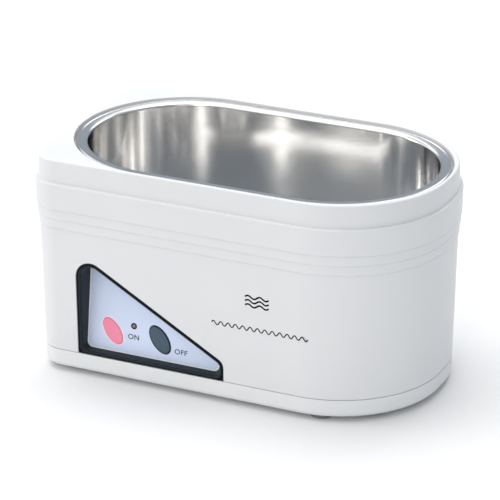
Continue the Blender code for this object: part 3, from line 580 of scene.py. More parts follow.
def metal(name, colour, roughness, brush=(1.0, 1.0, 1.0), grain=900.0, grain_depth=0.01, wave_depth=0.0,
          wave=(1.0, 1.0, 1.0), spread=0.06):
    """Bare metal: brushed or drawn grain, slow waviness of the sheet, uneven polish and faint stains."""
    finish = Finish(name)
    stain = finish.noise(35.0, 4.0, 0.6)
    line = finish.noise(grain, 3.0, 0.6, brush)
    base = finish.blend(finish.remap(stain, 0.35, 0.7), colour, shade(colour, 0.9))
    streak = finish.remap(line, 0.35, 0.75, 0.0, 0.5)
    finish.feed("Base Color", finish.blend(streak, base, shade(colour, 0.85)))
    uneven = finish.maths("ADD", finish.remap(stain, 0.3, 0.7, -spread, spread),
                          finish.remap(line, 0.3, 0.7, 0.0, spread))
    finish.feed("Roughness", finish.maths("ADD", uneven, roughness))
    normal = finish.bump(line, grain_depth, 0.5)
    if wave_depth > 0.0:
        normal = finish.bump(finish.noise(45.0, 1.0, 0.5, wave), wave_depth, 0.5, normal)
    finish.feed("Normal", normal)
    return finish.set(Metallic=1.0).material


# the white body's strong edge lightening is a painted highlight along its sharp creases, chiefly the fillet
# under the top band, which lies in shade
WHITE_BODY = moulded("white_moulding", (0.70, 0.708, 0.715), 0.36, wear_and_highlight=0.9, mottle=0.008, worn_and_highlight_tint=1.2,
                     Specular_IOR_Level=0.4)
WHITE_PAN = moulded("white_pan_moulding", (0.74, 0.748, 0.755), 0.42, wear_and_highlight=0.3, mottle=0.01, worn_and_highlight_tint=1.08,
                    Specular_IOR_Level=0.2)
BEZEL_BLACK = moulded("bezel_moulding", (0.013, 0.022, 0.028), 0.42, wear_and_highlight=0.5, mottle=0.08, worn_and_highlight_tint=2.6,
                      Specular_IOR_Level=0.16)
PANEL_WHITE = moulded("panel_plate", (0.88, 0.89, 0.92), 0.35, mottle=0.01)
PANEL_FILM = moulded("panel_film_print", (0.64, 0.725, 0.91), 0.32, grain=2400.0, grain_depth=0.006,
                     mottle=0.02)
KEY_PINK = moulded("pink_key", (0.93, 0.27, 0.40), 0.42, grain=2000.0, mottle=0.03)
KEY_SLATE = moulded("slate_key", (0.048, 0.084, 0.122), 0.42, grain=2000.0, mottle=0.12, worn_and_highlight_tint=1.8)
# white paint brighter than the panel plate; on the line round the film this extra brightness is a painted
# highlight
BORDER_HIGHLIGHT_WHITE = moulded("border_white_with_painted_highlight", (0.97, 0.97, 0.97), 0.4, mottle=0.01)
HALO_PINK = moulded("pale_pink_ink", (0.97, 0.79, 0.87), 0.4, mottle=0.02)
# black print, and also painted shade of the gap round the off key
INK_AND_SHADE_BLACK = moulded("black_ink_and_painted_shade", (0.004, 0.0045, 0.005), 0.6, mottle=0.1, Specular_IOR_Level=0.05)
INK_GREY = moulded("grey_ink", (0.02, 0.024, 0.034), 0.5, mottle=0.08, Specular_IOR_Level=0.2)
RUBBER = moulded("foot_rubber_grey", (0.16, 0.165, 0.17), 0.7, grain=900.0, grain_depth=0.03, mottle=0.1)
SILICONE = moulded("seal_silicone_white", (0.70, 0.70, 0.67), 0.5, mottle=0.03)
LENS = moulded("smoked_lens", (0.20, 0.145, 0.15), 0.12, grain_depth=0.003, mottle=0.06, Coat_Weight=0.6)
TANK_STEEL = metal("tank_sheet", (0.78, 0.773, 0.762), 0.125, brush=(0.7, 0.7, 1.0), grain=1500.0,
                   grain_depth=0.006, wave_depth=0.10, wave=(1.0, 1.0, 0.25), spread=0.03)
SCREW_ZINC = metal("screw_plating", (0.72, 0.73, 0.74), 0.3, grain=1600.0)
ALUMINIUM = metal("sawn_aluminium", (0.77, 0.78, 0.79), 0.36, brush=(1.0, 1.0, 0.1))
MASS_STEEL = metal("ground_steel", (0.56, 0.56, 0.57), 0.32, brush=(0.1, 1.0, 1.0))
BRASS = metal("brass_contact", (0.78, 0.58, 0.26), 0.28)
COPPER = metal("copper_contact", (0.80, 0.42, 0.25), 0.3)
WINDING = metal("enamelled_winding", (0.70, 0.28, 0.12), 0.35, brush=(0.2, 0.2, 3.0), grain=700.0,
                grain_depth=0.12)
FERRITE = moulded("fired_ferrite", (0.035, 0.035, 0.04), 0.55, grain=1800.0, grain_depth=0.02, mottle=0.15,
                  worn_and_highlight_tint=2.0)
CERAMIC = moulded("piezo_ceramic_body", (0.30, 0.28, 0.24), 0.5, grain=2200.0, mottle=0.06)
EPOXY = moulded("device_epoxy_black", (0.03, 0.03, 0.032), 0.4, mottle=0.1, worn_and_highlight_tint=2.0)
BOARD_GREEN = moulded("green_board", (0.03, 0.20, 0.08), 0.35, grain=2600.0, mottle=0.12)
BOARD_TAN = moulded("tan_board", (0.50, 0.33, 0.13), 0.5, grain=2200.0, mottle=0.08)
SWITCH_GREY = moulded("switch_grey", (0.30, 0.31, 0.32), 0.45, mottle=0.05)
PLUNGER = moulded("plunger_black", (0.02, 0.02, 0.022), 0.4, mottle=0.1, worn_and_highlight_tint=2.0)
FILM_RED = moulded("film_capacitor_red", (0.40, 0.05, 0.03), 0.35, mottle=0.08)
SLEEVE_BLUE = moulded("capacitor_sleeve", (0.02, 0.06, 0.25), 0.3, mottle=0.08)
GLASS = moulded("fuse_glass_tube", (0.70, 0.76, 0.74), 0.08, grain_depth=0.002, Transmission_Weight=0.6)
WIRES = {colour: moulded(f"wire_{colour}_pvc", value, 0.4, grain=1200.0, mottle=0.06) for colour, value in
         {"brown": (0.14, 0.06, 0.03), "blue": (0.02, 0.08, 0.36), "red": (0.50, 0.02, 0.015),
          "black": (0.016, 0.016, 0.018), "grey": (0.36, 0.36, 0.37)}.items()}


# =====================================================================================================
# housing and base pan
# =====================================================================================================

def walls(points):
    """Rings that follow the housing's plan, from (inset, height) points."""
    return [("body", inset, z) for inset, z in points]


def ovals(points):
    """Rings that follow the tank's plan, from (radius, height) points."""
    return [("oval", radius, z) for radius, z in points]


def housing_rings():
    """The shell's closed profile: up the outside, over the deck, into the tank's hole and back inside."""
    low = PARTING_Z + GAP / 2.0
    foot = wall_inset(low) + SEAM_EDGE
    rings = walls([(wall_inset(low) + WALL, low), (foot, low)])
    rings += walls([(foot - x, z) for x, z in bend((0.0, low + SEAM_EDGE), SEAM_EDGE, -60, 0, 2)])
    rings += walls([(wall_inset(low + HOLD), low + HOLD)])
    for line in STEP_LINES:
        below = wall_inset(line - STEP_RISE)
        above = wall_inset(line)
        rings += walls([(wall_inset(line - HOLD), line - HOLD)])
        rings += walls([(below + x, line + z) for x, z in STEP_BELOW])
        rings += walls([(above + x, line + z) for x, z in STEP_ABOVE])
        rings += walls([(wall_inset(line + HOLD), line + HOLD)])
    under = SHOULDER_Z - EDGE - HOLD
    rings += walls([(wall_inset(under), under)])
    rings += walls([(EDGE - x, z) for x, z in bend((0.0, SHOULDER_Z - EDGE), EDGE, 0, 90, 6)])
    rings += walls([(BAND_IN + x, SHOULDER_Z + z) for x, z in LEDGE_FILLET])
    rings += walls([(BAND_IN, SHOULDER_Z + BAND_HOLD), (BAND_IN + BAND_LEAN, DECK_Z - EDGE - BAND_HOLD)])
    rings += walls([(DECK_EDGE_IN + EDGE - x, z) for x, z in bend((0.0, DECK_Z - EDGE), EDGE, 0, 90, 6)])
    rings += walls([(DECK_EDGE_IN + EDGE + HAIR, DECK_Z)])

    lip = RECESS_R + RECESS_LIP
    rings += ovals([(lip + HAIR, DECK_Z)])
    rings += ovals([(lip - x, z) for x, z in bend((0.0, DECK_Z - RECESS_LIP), RECESS_LIP, 90, 0, 4)])
    rings += ovals([(RECESS_R, POCKET_FLOOR_Z), (HOLE_R, POCKET_FLOOR_Z), (HOLE_R, POCKET_BLOCK_Z),
                    (POCKET_BLOCK_R, POCKET_BLOCK_Z), (POCKET_BLOCK_R, DECK_Z - WALL)])

    ledge_top, ledge_foot = INNER_LEDGE
    last = STEP_LINES[0] - INNER_FOOT
    rings += walls([(WALL + BAND_IN, DECK_Z - WALL), (WALL + BAND_IN, SHOULDER_Z - ledge_top)])
    rings += walls([(WALL + HAIR, SHOULDER_Z - ledge_foot), (WALL + INNER_LEAN, STEP_LINES[-1] + 1.0)])
    return rings + walls([(wall_inset(last) + WALL, last)])


def make_housing():
    plans = {"body": body_outline, "oval": stadium}
    rings = [at_height(plans[kind](size), z) for kind, size, z in housing_rings()]
    housing = object_from("housing_shell", skin(rings, True))

    boss = [(BOSS_RADIUS, PARTING_Z + BOSS_GAP), (BOSS_RADIUS, BOSS_TOP_Z)]
    carve(housing, "UNION", joined([shifted(turned(boss), x, y) for x, y in BASE_SCREWS]))

    notch = window_outline(-GAP, CUT_BELOW, CUT_CORNER)
    flare = window_outline(-GAP - CUT_FLARE, CUT_BELOW, CUT_CORNER)
    window = [[(x, front_y(z) + depth, z) for x, z in outline]
              for outline, depth in ((flare, -2.0 - GAP), (flare, -GAP), (notch, CUT_FLARE / 2.0))]
    window.append([(x, front_y(PARTING_Z) + WINDOW_CUT, z) for x, z in notch])
    pilot = [(PILOT_R, PARTING_Z - 1.0), (PILOT_R, PILOT_TOP_Z)]
    pilots = [shifted(turned(pilot, 24), x, y) for x, y in BASE_SCREWS]
    carve(housing, "DIFFERENCE", joined([skin(window)] + pilots))

    socket = rounded_polygon(rectangle(*INLET_HOLE), [INLET_HOLE_CORNER] * 4, [4] * 4)
    centre_x = (inlet_low.x + inlet_high.x) / 2.0
    centre_z = (inlet_low.z + inlet_high.z) / 2.0
    holes = [[(x + centre_x, z + centre_z) for x, z in socket]]
    holes += [slot_outline(x, *REAR_VENT_Z) for x in REAR_VENTS]
    cutters = [skin([[(x, y, z) for x, z in hole] for y in REAR_CUT_Y]) for hole in holes]
    carve(housing, "DIFFERENCE", joined(cutters))
    return finished(housing, "cleaner_body", WHITE_BODY, ["upper_housing"])


def make_pan():
    seam = PARTING_Z - GAP / 2.0
    inner = wall_inset(seam) + WALL
    fillet = PAN_FLOOR_Z + PAN_INNER_FILLET
    rings = [(wall_inset(PAN_BOTTOM_Z) + PAN_FILLET + 1.0, PAN_BOTTOM_Z)]
    for x, z in bend((0.0, PAN_BOTTOM_Z + PAN_FILLET), PAN_FILLET, -90, 0, 8):
        rings.append((wall_inset(z) + PAN_FILLET - x, z))
    rings.append((wall_inset(seam - 1.0), seam - 1.0))
    edge = bend((0.0, seam - SEAM_EDGE), SEAM_EDGE, 0, 90, 3)
    rings += [(wall_inset(seam) + SEAM_EDGE - x, z) for x, z in edge]
    rings += [(inner, seam), (inner, fillet)]
    rings += [(inner + PAN_INNER_FILLET - x, z) for x, z in bend((0.0, fillet), PAN_INNER_FILLET, 0, -90, 4)]
    pan = object_from("base_pan_shell", skin([at_height(body_outline(inset), z) for inset, z in rings]))

    side = HALF_WIDTH - inner - GAP
    end = HALF_LENGTH - inner - GAP
    root = PAN_FLOOR_Z - 1.0
    tabs = [box((x - TAB_HALF, side - TAB, root), (x + TAB_HALF, side, pan_high.z)) for x in REAR_TABS]
    tabs += [box((FRONT_TAB - TAB_HALF, -side, root), (FRONT_TAB + TAB_HALF, TAB - side, pan_high.z))]
    tabs += [box((-end, y - TAB_HALF, root), (TAB - end, y + TAB_HALF, pan_high.z)) for y in LEFT_TABS]
    post = [(POST_R, root), (POST_R, seam - GAP)]
    board_post = [(BOARD_POST_R, root), (BOARD_POST_R, BOARD_POST_Z)]
    posts = [shifted(turned(post), x, y) for x, y in BASE_SCREWS]
    posts += [shifted(turned(board_post), x, y) for x, y in BOARD_SCREWS]
    carve(pan, "UNION", joined(tabs + posts))

    well = [(WELL_MOUTH_R, 0.0), (WELL_MOUTH_R, 2.3), (HEAD_WELL_R, 2.9), (HEAD_WELL_R, HEAD_WELL_Z),
            (SHANK_HOLE_R, HEAD_WELL_Z + STEP), (SHANK_HOLE_R, 14.0)]
    holes = [shifted(turned(well), x, y) for x, y in BASE_SCREWS]
    pilot = [(BOARD_PILOT_R, 6.0), (BOARD_PILOT_R, 12.0)]
    holes += [shifted(turned(pilot, 20), x, y) for x, y in BOARD_SCREWS]
    holes += [shifted(turned([(FOOT_HOLE_R, 0.0), (FOOT_HOLE_R, 6.0)]), x, y) for x, y in FEET.values()]
    holes += [prism(slot_outline(x, -PAN_VENT_REACH, PAN_VENT_REACH), 0.0, 6.0) for x in PAN_VENTS]
    carve(pan, "DIFFERENCE", joined(holes))
    return finished(pan, "cleaner_body", WHITE_PAN, ["base_pan"])


def make_feet():
    top = PAN_BOTTOM_Z - GAP
    tread = FOOT_RADIUS - FOOT_EDGE
    profile = [(2.0, 0.35), (2.6, 0.0), (tread, 0.0)]
    profile += [(tread + x, FOOT_EDGE + z) for x, z in bend((0.0, 0.0), FOOT_EDGE, -70, 0, 4)]
    profile += [(FOOT_RADIUS, top - 0.2), (FOOT_RADIUS - 0.2, top)]
    profile += [(FOOT_STEM, top + STEP), (FOOT_STEM, FOOT_STEM_Z - 0.3), (FOOT_STEM - 0.3, FOOT_STEM_Z)]
    for name, (x, y) in FEET.items():
        foot = object_from(f"rubber_{name}", shifted(turned(profile, 48), x, y))
        finished(foot, "cleaner_body", RUBBER, [f"foot_{name}"])


# =====================================================================================================
# tank
# =====================================================================================================

def make_tank():
    """A drawn sheet: rolled bead, flange that dishes slightly towards the mouth, wall and rounded floor."""
    groove = FLANGE_R - BEAD - 0.55
    mouth = MOUTH_R + MOUTH_LIP
    top = FLANGE_Z - MOUTH_LIP - DISH
    low = TANK_FLOOR_Z + FLOOR_RADIUS
    skirt = FLANGE_Z - FLANGE_SKIRT
    inside = [(FLANGE_R, skirt), (FLANGE_R, FLANGE_Z - BEAD - 0.3)]
    inside += bend((FLANGE_R - BEAD, FLANGE_Z - BEAD), BEAD, 0, 100, 8)
    inside += [(groove, FLANGE_Z - 0.22), (groove - 0.4, FLANGE_Z - 0.16)]
    inside += [(mouth + 0.5, FLANGE_Z - DISH + 0.06)]
    inside += bend((mouth, top), MOUTH_LIP, 90, 180, 8)
    inside += [(MOUTH_R, top + (low - top) * k / TANK_BANDS) for k in range(1, TANK_BANDS)]
    inside += bend((MOUTH_R - FLOOR_RADIUS, low), FLOOR_RADIUS, 0, -90, 10)

    under = FLANGE_Z - SHEET - 0.15
    outside = [(FLANGE_R - SHEET, skirt), (FLANGE_R - SHEET, FLANGE_Z - SHEET - 0.4),
               (FLANGE_R - SHEET - 0.3, under), (mouth, under)]
    outside += bend((mouth, top), MOUTH_LIP - SHEET, 90, 180, 3)
    outside += bend((MOUTH_R - FLOOR_RADIUS, low), FLOOR_RADIUS + SHEET, 0, -90, 6)
    rings = [at_height(stadium(r), z) for r, z in list(reversed(outside)) + inside]
    tank = object_from("drawn_tank", skin(rings))
    return finished(tank, "cleaner_body", TANK_STEEL, ["wash_tank"], sharp=50.0)


# =====================================================================================================
# control window
# =====================================================================================================

def bezel_ring(inset, depth, flange=0.0, right_lean=0.0):
    """The frame's outline at a depth behind the front wall; its inner corners are round from the lip on."""
    at_bottom = GAP + max(inset, 0.0) / BEZEL_WALL * BEZEL_BOTTOM_WALL
    rounding = min(max(inset, 0.0) / BEZEL_LIP, 1.0)
    corner = BEZEL_EDGE + rounding * (WINDOW_INNER_CORNER - BEZEL_EDGE)
    outline = window_outline(inset - flange, at_bottom, corner, right_lean)
    return [(x, front_y(z) + depth, z) for x, z in outline]


def bezel_back_ring(inset, right_lean=0.0):
    """The same outline where the frame meets the leaning panel."""
    ring = bezel_ring(inset, 0.0, 0.0, right_lean)
    return [(x, panel_y(z) - GAP / cos(PANEL_LEAN), z) for x, _, z in ring]


def make_bezel():
    behind = WALL + GAP
    rear = behind + BEZEL_FLANGE_THICK
    rounding = BEZEL_WALL - BEZEL_LIP
    rings = [bezel_ring(BEZEL_EDGE, 0.0), bezel_ring(0.3 * BEZEL_EDGE, 0.3 * BEZEL_EDGE)]
    rings += [bezel_ring(0.0, BEZEL_EDGE), bezel_ring(0.0, behind), bezel_ring(0.0, behind, BEZEL_FLANGE)]
    rings += [bezel_ring(0.0, rear, BEZEL_FLANGE), bezel_ring(0.0, rear + STEP)]
    rings += [bezel_back_ring(0.0), bezel_back_ring(BEZEL_WALL, BEZEL_RIGHT_LEAN)]
    rings += [bezel_ring(BEZEL_LIP + x, rounding - z) for x, z in bend((0.0, 0.0), rounding, 0, 90, 8)]
    bezel = object_from("bezel_frame", skin(rings, closed=True))
    finished(bezel, "cleaner_body", BEZEL_BLACK, ["window_bezel"])

    inner = BEZEL_LIP + HAIR
    levels = ((BEZEL_EDGE, -INK), (inner, -INK), (inner, 0.0), (BEZEL_EDGE, 0.0))
    rings = [bezel_ring(inset, depth) for inset, depth in levels]
    lip = object_from("bezel_lip_band", skin(rings, closed=True))
    finished(lip, "cleaner_body", INK_AND_SHADE_BLACK)


def on_face(outline):
    """An (x, z) outline of the front wall as (u, v) on the panel."""
    return [(x, (z - PANEL_FOOT_Z) / cos(PANEL_LEAN)) for x, z in outline]


def inside_recess(border):
    """The panel's visible outline, moved inwards by a border."""
    bottom = GAP + BEZEL_BOTTOM_WALL + border
    return on_face(window_outline(BEZEL_WALL + border, bottom, WINDOW_INNER_CORNER, BEZEL_RIGHT_LEAN))


def key_holes(key_grow, lamp_grow, low):
    """Cutters for the two keys and the lamp, from low to above the panel's face."""
    cutters = [shifted(prism(slanted_ellipse(key_grow), low, 1.0), u, BUTTON_V) for u in (ON_U, OFF_U)]
    return cutters + [shifted(prism(circle(LED_RADIUS + lamp_grow), low, 1.0), LED_U, LED_V)]


def make_panel():
    place = on_panel()
    outline = on_face(window_outline(0.6, 0.6, 2.0))
    plate = object_from("panel_plate", prism(outline, -PANEL_THICK, 0.0), place)
    post = [(CONTROL_POST_R, CONTROL_BOARD_TOP + GAP), (CONTROL_POST_R, -1.5)]
    carve(plate, "UNION", joined([shifted(turned(post), u, v) for u, v in CONTROL_POSTS]), place)
    pilot = [(CONTROL_PILOT_R, CONTROL_BOARD_TOP - 1.0), (CONTROL_PILOT_R, -3.0)]
    pilots = [shifted(turned(pilot, 20), u, v) for u, v in CONTROL_POSTS]
    carve(plate, "DIFFERENCE", joined(key_holes(KEY_HOLE, GAP, -3.0) + pilots), place)
    finished(plate, "cleaner_body", PANEL_WHITE, ["control_panel"])

    # a raised line of whiter paint over the plate's edge round the film: the white plate does show there, and
    # its extra brightness is a painted highlight
    levels = ((0.05, 0.0), (BORDER, 0.0), (BORDER, FILM + INK), (0.05, FILM + INK))
    rings = [at_height(inside_recess(inset), w) for inset, w in levels]
    line = object_from("panel_border_highlight_line", skin(rings, closed=True), place)
    finished(line, "cleaner_body", BORDER_HIGHLIGHT_WHITE)

    film = object_from("panel_print", prism(inside_recess(BORDER), 0.0, FILM), place)
    carve(film, "DIFFERENCE", joined(key_holes(FILM_KEY_HOLE, FILM_LAMP_HOLE, -1.0)), place)
    finished(film, "cleaner_body", PANEL_FILM)

    inner = FILM_KEY_HOLE + 0.02
    # the black ring round the off key is partly a dark printed ring and partly painted shade of the gap
    # between key and film
    for name, u, finish, outer in (("on", ON_U, HALO_PINK, 0.5), ("off", OFF_U, INK_AND_SHADE_BLACK, 0.3)):
        levels = ((inner, FILM), (outer, FILM), (outer, FILM + INK), (inner, FILM + INK))
        rings = [at_height(slanted_ellipse(grow), w) for grow, w in levels]
        ring = object_from(f"{name}_key_outline", skin(rings, closed=True), on_panel(u, BUTTON_V))
        finished(ring, "cleaner_body", finish)


def make_keys():
    """Oval caps with a flange behind the panel, a rounded rim, a faintly domed face and a stem."""
    back = -PANEL_THICK - GAP
    rim = BUTTON_PROUD - KEY_RIM - 0.05
    for name, u, finish in (("on", ON_U, KEY_PINK), ("off", OFF_U, KEY_SLATE)):
        levels = [(KEY_FLANGE, back - 1.0), (KEY_FLANGE, back), (KEY_CAP, back + STEP), (KEY_CAP, rim - 0.05)]
        levels += [(KEY_CAP - KEY_RIM + x, z) for x, z in bend((0.0, rim), KEY_RIM, 20, 80, 4)]
        levels += [(-1.2, BUTTON_PROUD), (-2.4, BUTTON_PROUD + 0.03), (-3.4, BUTTON_PROUD + 0.05)]
        rings = [at_height(slanted_ellipse(grow), w) for grow, w in levels]
        key = object_from(f"{name}_key_cap", skin(rings), on_panel(u, BUTTON_V))
        stem = turned([(STEM_R, back - STEM_LENGTH), (STEM_R, back - 0.5)])
        carve(key, "UNION", stem, on_panel(u, BUTTON_V))
        finished(key, f"{name}_button", finish, [f"{name}_button"])


def make_lamp():
    """A lens whose dome is flattened to half its height, in a thin black ring."""
    place = on_panel(LED_U, LED_V)
    collar = -PANEL_THICK - GAP
    lens = [(2.0, -5.0), (2.0, collar), (LENS_R, collar + STEP), (LENS_R, LENS_Z)]
    lens += [(r, LENS_Z + z / 2.0) for r, z in bend((0.0, 0.0), LENS_R, 12, 78, 6)]
    dome = object_from("lamp_lens_dome", turned(lens, 40), place)
    finished(dome, "cleaner_body", LENS, ["power_lamp"])
    inner = LENS_R + HAIR
    outer = LED_RADIUS + HAIR
    ring = [(inner, collar + 0.2), (outer, collar + 0.2), (outer, RING_Z), (outer - HAIR, RING_Z + 0.08),
            (inner + HAIR, RING_Z + 0.08), (inner, RING_Z)]
    made = object_from("lamp_ring", turned(ring, 40, closed=True), place)
    finished(made, "cleaner_body", INK_AND_SHADE_BLACK)


# =====================================================================================================
# printed marks: generic words beside the keys, plain waves on the front
# =====================================================================================================

def word(name, text, u, v):
    """A word of thin raised ink on the panel's film, centred on (u, v)."""
    curve = bpy.data.curves.new(name, "FONT")
    curve.body = text
    curve.size = WORD_SIZE
    curve.align_x = "CENTER"
    curve.align_y = "CENTER"
    curve.space_character = WORD_SPACING
    curve.offset = WORD_WEIGHT
    curve.extrude = INK
    curve.resolution_u = 6
    source = bpy.data.objects.new(name, curve)
    bpy.context.scene.collection.objects.link(source)
    bpy.context.view_layer.update()
    graph = bpy.context.evaluated_depsgraph_get()
    mesh = bpy.data.meshes.new_from_object(source.evaluated_get(graph))
    bpy.data.objects.remove(source)
    bm = bmesh.new()
    bm.from_mesh(mesh)
    bpy.data.meshes.remove(mesh)
    bmesh.ops.remove_doubles(bm, verts=bm.verts, dist=0.0001)
    bmesh.ops.scale(bm, vec=(WORD_WIDTH, 1.0, 1.0), verts=bm.verts)
    made = object_from(name, shifted(bm, 0.0, 0.0, FILM + INK), on_panel(u, v))
    return finished(made, "cleaner_body", INK_GREY)


def front_line(points, width):
    """A thin raised line of even width along (x, z) points on the front wall."""
    rings = []
    for i, (x, z) in enumerate(points):
        ahead = Vector(points[min(i + 1, len(points) - 1)])
        behind = Vector(points[max(i - 1, 0)])
        along = (ahead - behind).normalized()
        side = Vector((-along.y, along.x)) * width / 2.0
        ring = []
        for reach, lift in ((side, 0.0), (side, INK), (-side, INK), (-side, 0.0)):
            at = Vector((x, z)) + reach
            ring.append((at.x, front_y(at.y) - lift + 0.01, at.y))
        rings.append(ring)
    return skin(rings)


def wave(x_low, x_high, z, height, periods):
    """Points of a sine wave in the front wall's (x, z)."""
    count = int(periods * 12)
    points = []
    for k in range(count + 1):
        turn = 2.0 * pi * periods * k / count
        points.append((x_low + (x_high - x_low) * k / count, z + height * sin(turn)))
    return points


def make_marks():
    word("on_word", "ON", -46.4, 10.6)
    word("off_word", "OFF", -20.4, 7.4)
    left, right = MARK_X
    small = [front_line(wave(left, right, z, 0.75, 2.0), MARK_WIDTH) for z in MARK_Z]
    finished(object_from("front_wave_mark", joined(small)), "cleaner_body", INK_AND_SHADE_BLACK)
    left, right = RULE_X
    rule = front_line(wave(left, right, RULE_Z, 1.0, 13.0), RULE_WIDTH)
    finished(object_from("front_wave_rule", rule), "cleaner_body", INK_AND_SHADE_BLACK)


make_housing()
make_pan()
make_feet()
make_tank()
make_bezel()
make_panel()
make_keys()
make_lamp()
make_marks()


# =====================================================================================================
# finishes of the CAD nodes that show as they are
# =====================================================================================================

CAD_FINISHES = {
    "tank_seal": SILICONE, "mains_inlet": BEZEL_BLACK, "lamp_spacer": SWITCH_GREY,
    "inlet_pin_line": BRASS, "inlet_pin_neutral": BRASS,
    "transducer_front_mass": ALUMINIUM, "transducer_back_mass": MASS_STEEL, "preload_bolt": SCREW_ZINC,
    "piezo_ring_upper": CERAMIC, "piezo_ring_lower": CERAMIC,
    "electrode_upper": COPPER, "electrode_lower": BRASS,
    "control_board": BOARD_GREEN, "driver_board": BOARD_TAN, "transformer_core": FERRITE,
    "transformer_winding": WINDING, "heatsink": ALUMINIUM, "power_transistor": EPOXY,
    "transistor_screw": SCREW_ZINC, "filter_capacitor": SLEEVE_BLUE, "film_capacitor": FILM_RED,
    "toroid_choke": WINDING, "fuse": GLASS, "fuse_clip_left": BRASS, "fuse_clip_right": BRASS,
    "mains_lead_line": WIRES["brown"], "mains_lead_neutral": WIRES["blue"],
    "transducer_lead_drive": WIRES["red"], "transducer_lead_ground": WIRES["black"],
    "control_cable": WIRES["grey"],
}
for key in ("on", "off"):
    CAD_FINISHES[f"{key}_switch_body"] = SWITCH_GREY
    CAD_FINISHES[f"{key}_switch_plunger"] = PLUNGER
for group, count in (("base_screw", 4), ("driver_board_screw", 4), ("control_board_screw", 3)):
    for k in range(count):
        CAD_FINISHES[f"{group}_{k + 1}"] = SCREW_ZINC
for name, finish in CAD_FINISHES.items():
    nodes[name].data.materials.clear()
    nodes[name].data.materials.append(finish)


# =====================================================================================================
# floor, light and camera
# =====================================================================================================

CAMERA_AZIMUTH = 24.795              # degrees round from the front, towards the round end
CAMERA_ELEVATION = 22.944            # degrees up
CAMERA_TARGET = Vector((-6.54, 0.0, 57.374))
CAMERA_DISTANCE = 1.429415           # metres
CAMERA_LENS = 207.446
BRIGHT_SIDE = (-0.68, -0.733, 0.0)   # direction of the bright half of the surround
BRIGHT_BLEND = 0.55
FLOOR_COLOURS = ((0.815, 0.815, 0.82), (0.83, 0.83, 0.835))
BENCH = (0.0, 0.0, 0.1)              # lights: place, aim and size in metres, power in watts
LIGHTS = {
    "top_softbox": ((-0.25, 0.25, 1.65), BENCH, (1.6, 1.1), 17.6),
    "rear_softbox": ((0.3, 1.45, 1.2), BENCH, (0.6, 0.6), 2.6),
    "rim_card": ((-0.65, 1.38, 1.1), (0.0, 0.0, 0.11), (2.2, 0.36), 3.6),
    "left_strip": ((-1.75, -0.64, 0.85), BENCH, (0.4, 0.9), 4.2),
    "low_box_one": ((0.33, -1.87, 0.83), BENCH, (0.34, 0.5), 4.4),
    "low_box_two": ((1.0, -1.58, 0.83), BENCH, (0.26, 0.45), 0.5),
}


def make_floor():
    finish = Finish("pale_floor")
    cloud = finish.noise(6.0, 3.0)
    finish.feed("Base Color", finish.blend(cloud, *FLOOR_COLOURS))
    finish.feed("Roughness", finish.remap(cloud, 0.3, 0.7, 0.7, 0.8))
    floor = object_from("floor", box((-4000.0, -4000.0, -20.0), (4000.0, 4000.0, 0.0)))
    floor.data.materials.append(finish.material)


def area_light(name, place, aim, size, power):
    """A rectangular softbox at a place, turned to its aim."""
    data = bpy.data.lights.new(name, "AREA")
    data.shape = "RECTANGLE"
    data.size = size[0]
    data.size_y = size[1]
    data.energy = power
    lamp = bpy.data.objects.new(name, data)
    lamp.location = place
    lamp.rotation_euler = (Vector(aim) - Vector(place)).to_track_quat("-Z", "Y").to_euler()
    bpy.context.scene.collection.objects.link(lamp)


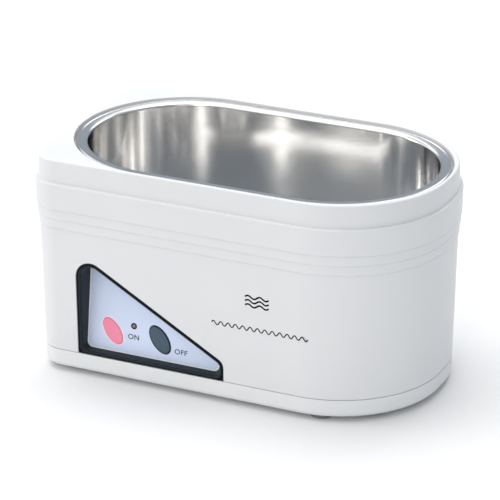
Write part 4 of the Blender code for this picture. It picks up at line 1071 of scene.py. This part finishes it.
def make_world():
    """Two upright colour ramps: bright on the camera's left and front, grey-blue behind and on its right."""
    world = bpy.data.worlds.new("studio")
    world.use_nodes = True
    tree = world.node_tree
    where = tree.nodes.new("ShaderNodeTexCoord").outputs["Generated"]
    split = tree.nodes.new("ShaderNodeSeparateXYZ")
    tree.links.new(where, split.inputs[0])

    def sky(stops):
        ramp = tree.nodes.new("ShaderNodeValToRGB")
        tree.links.new(split.outputs["Z"], ramp.inputs[0])
        ramp.color_ramp.elements.remove(ramp.color_ramp.elements[1])
        for k, (at, colour) in enumerate(stops):
            element = ramp.color_ramp.elements[0] if k == 0 else ramp.color_ramp.elements.new(at)
            element.position = at
            element.color = (*colour, 1.0)
        return ramp.outputs["Color"]

    behind = sky(((0.0, (0.40, 0.42, 0.45)), (0.2, (0.34, 0.39, 0.44)), (0.42, (0.34, 0.39, 0.46)),
                  (0.55, (0.50, 0.51, 0.53)), (1.0, (0.60, 0.60, 0.60))))
    ahead = sky(((0.0, (0.45, 0.44, 0.45)), (0.17, (0.45, 0.44, 0.45)), (0.27, (1.28, 1.28, 1.28)),
                 (0.6, (1.16, 1.16, 1.16)), (1.0, (0.95, 0.95, 0.95))))
    facing = tree.nodes.new("ShaderNodeVectorMath")
    facing.operation = "DOT_PRODUCT"
    facing.inputs[1].default_value = BRIGHT_SIDE
    tree.links.new(where, facing.inputs[0])
    side = tree.nodes.new("ShaderNodeMapRange")
    side.interpolation_type = "SMOOTHSTEP"
    side.inputs["From Min"].default_value = 0.0
    side.inputs["From Max"].default_value = BRIGHT_BLEND
    tree.links.new(facing.outputs["Value"], side.inputs["Value"])
    both = tree.nodes.new("ShaderNodeMix")
    both.data_type = "RGBA"
    tree.links.new(side.outputs["Result"], both.inputs[0])
    tree.links.new(behind, both.inputs[6])
    tree.links.new(ahead, both.inputs[7])
    background = tree.nodes["Background"]
    tree.links.new(both.outputs[2], background.inputs["Color"])
    background.inputs["Strength"].default_value = 1.0
    bpy.context.scene.world = world


def make_camera():
    """The photo's camera, as it was fitted to the outlines."""
    azimuth = radians(CAMERA_AZIMUTH)
    elevation = radians(CAMERA_ELEVATION)
    back = Vector((sin(azimuth) * cos(elevation), -cos(azimuth) * cos(elevation), sin(elevation)))
    data = bpy.data.cameras.new("camera")
    data.lens = CAMERA_LENS
    data.sensor_width = 36.0
    data.clip_start = 0.01
    camera = bpy.data.objects.new("camera", data)
    camera.location = CAMERA_TARGET * MM + back * CAMERA_DISTANCE
    camera.rotation_euler = (-back).to_track_quat("-Z", "Y").to_euler()
    bpy.context.scene.collection.objects.link(camera)
    bpy.context.scene.camera = camera


make_floor()
make_world()
for name, (place, aim, size, power) in LIGHTS.items():
    area_light(name, place, aim, size, power)
make_camera()
bpy.context.scene.view_settings.view_transform = "Standard"
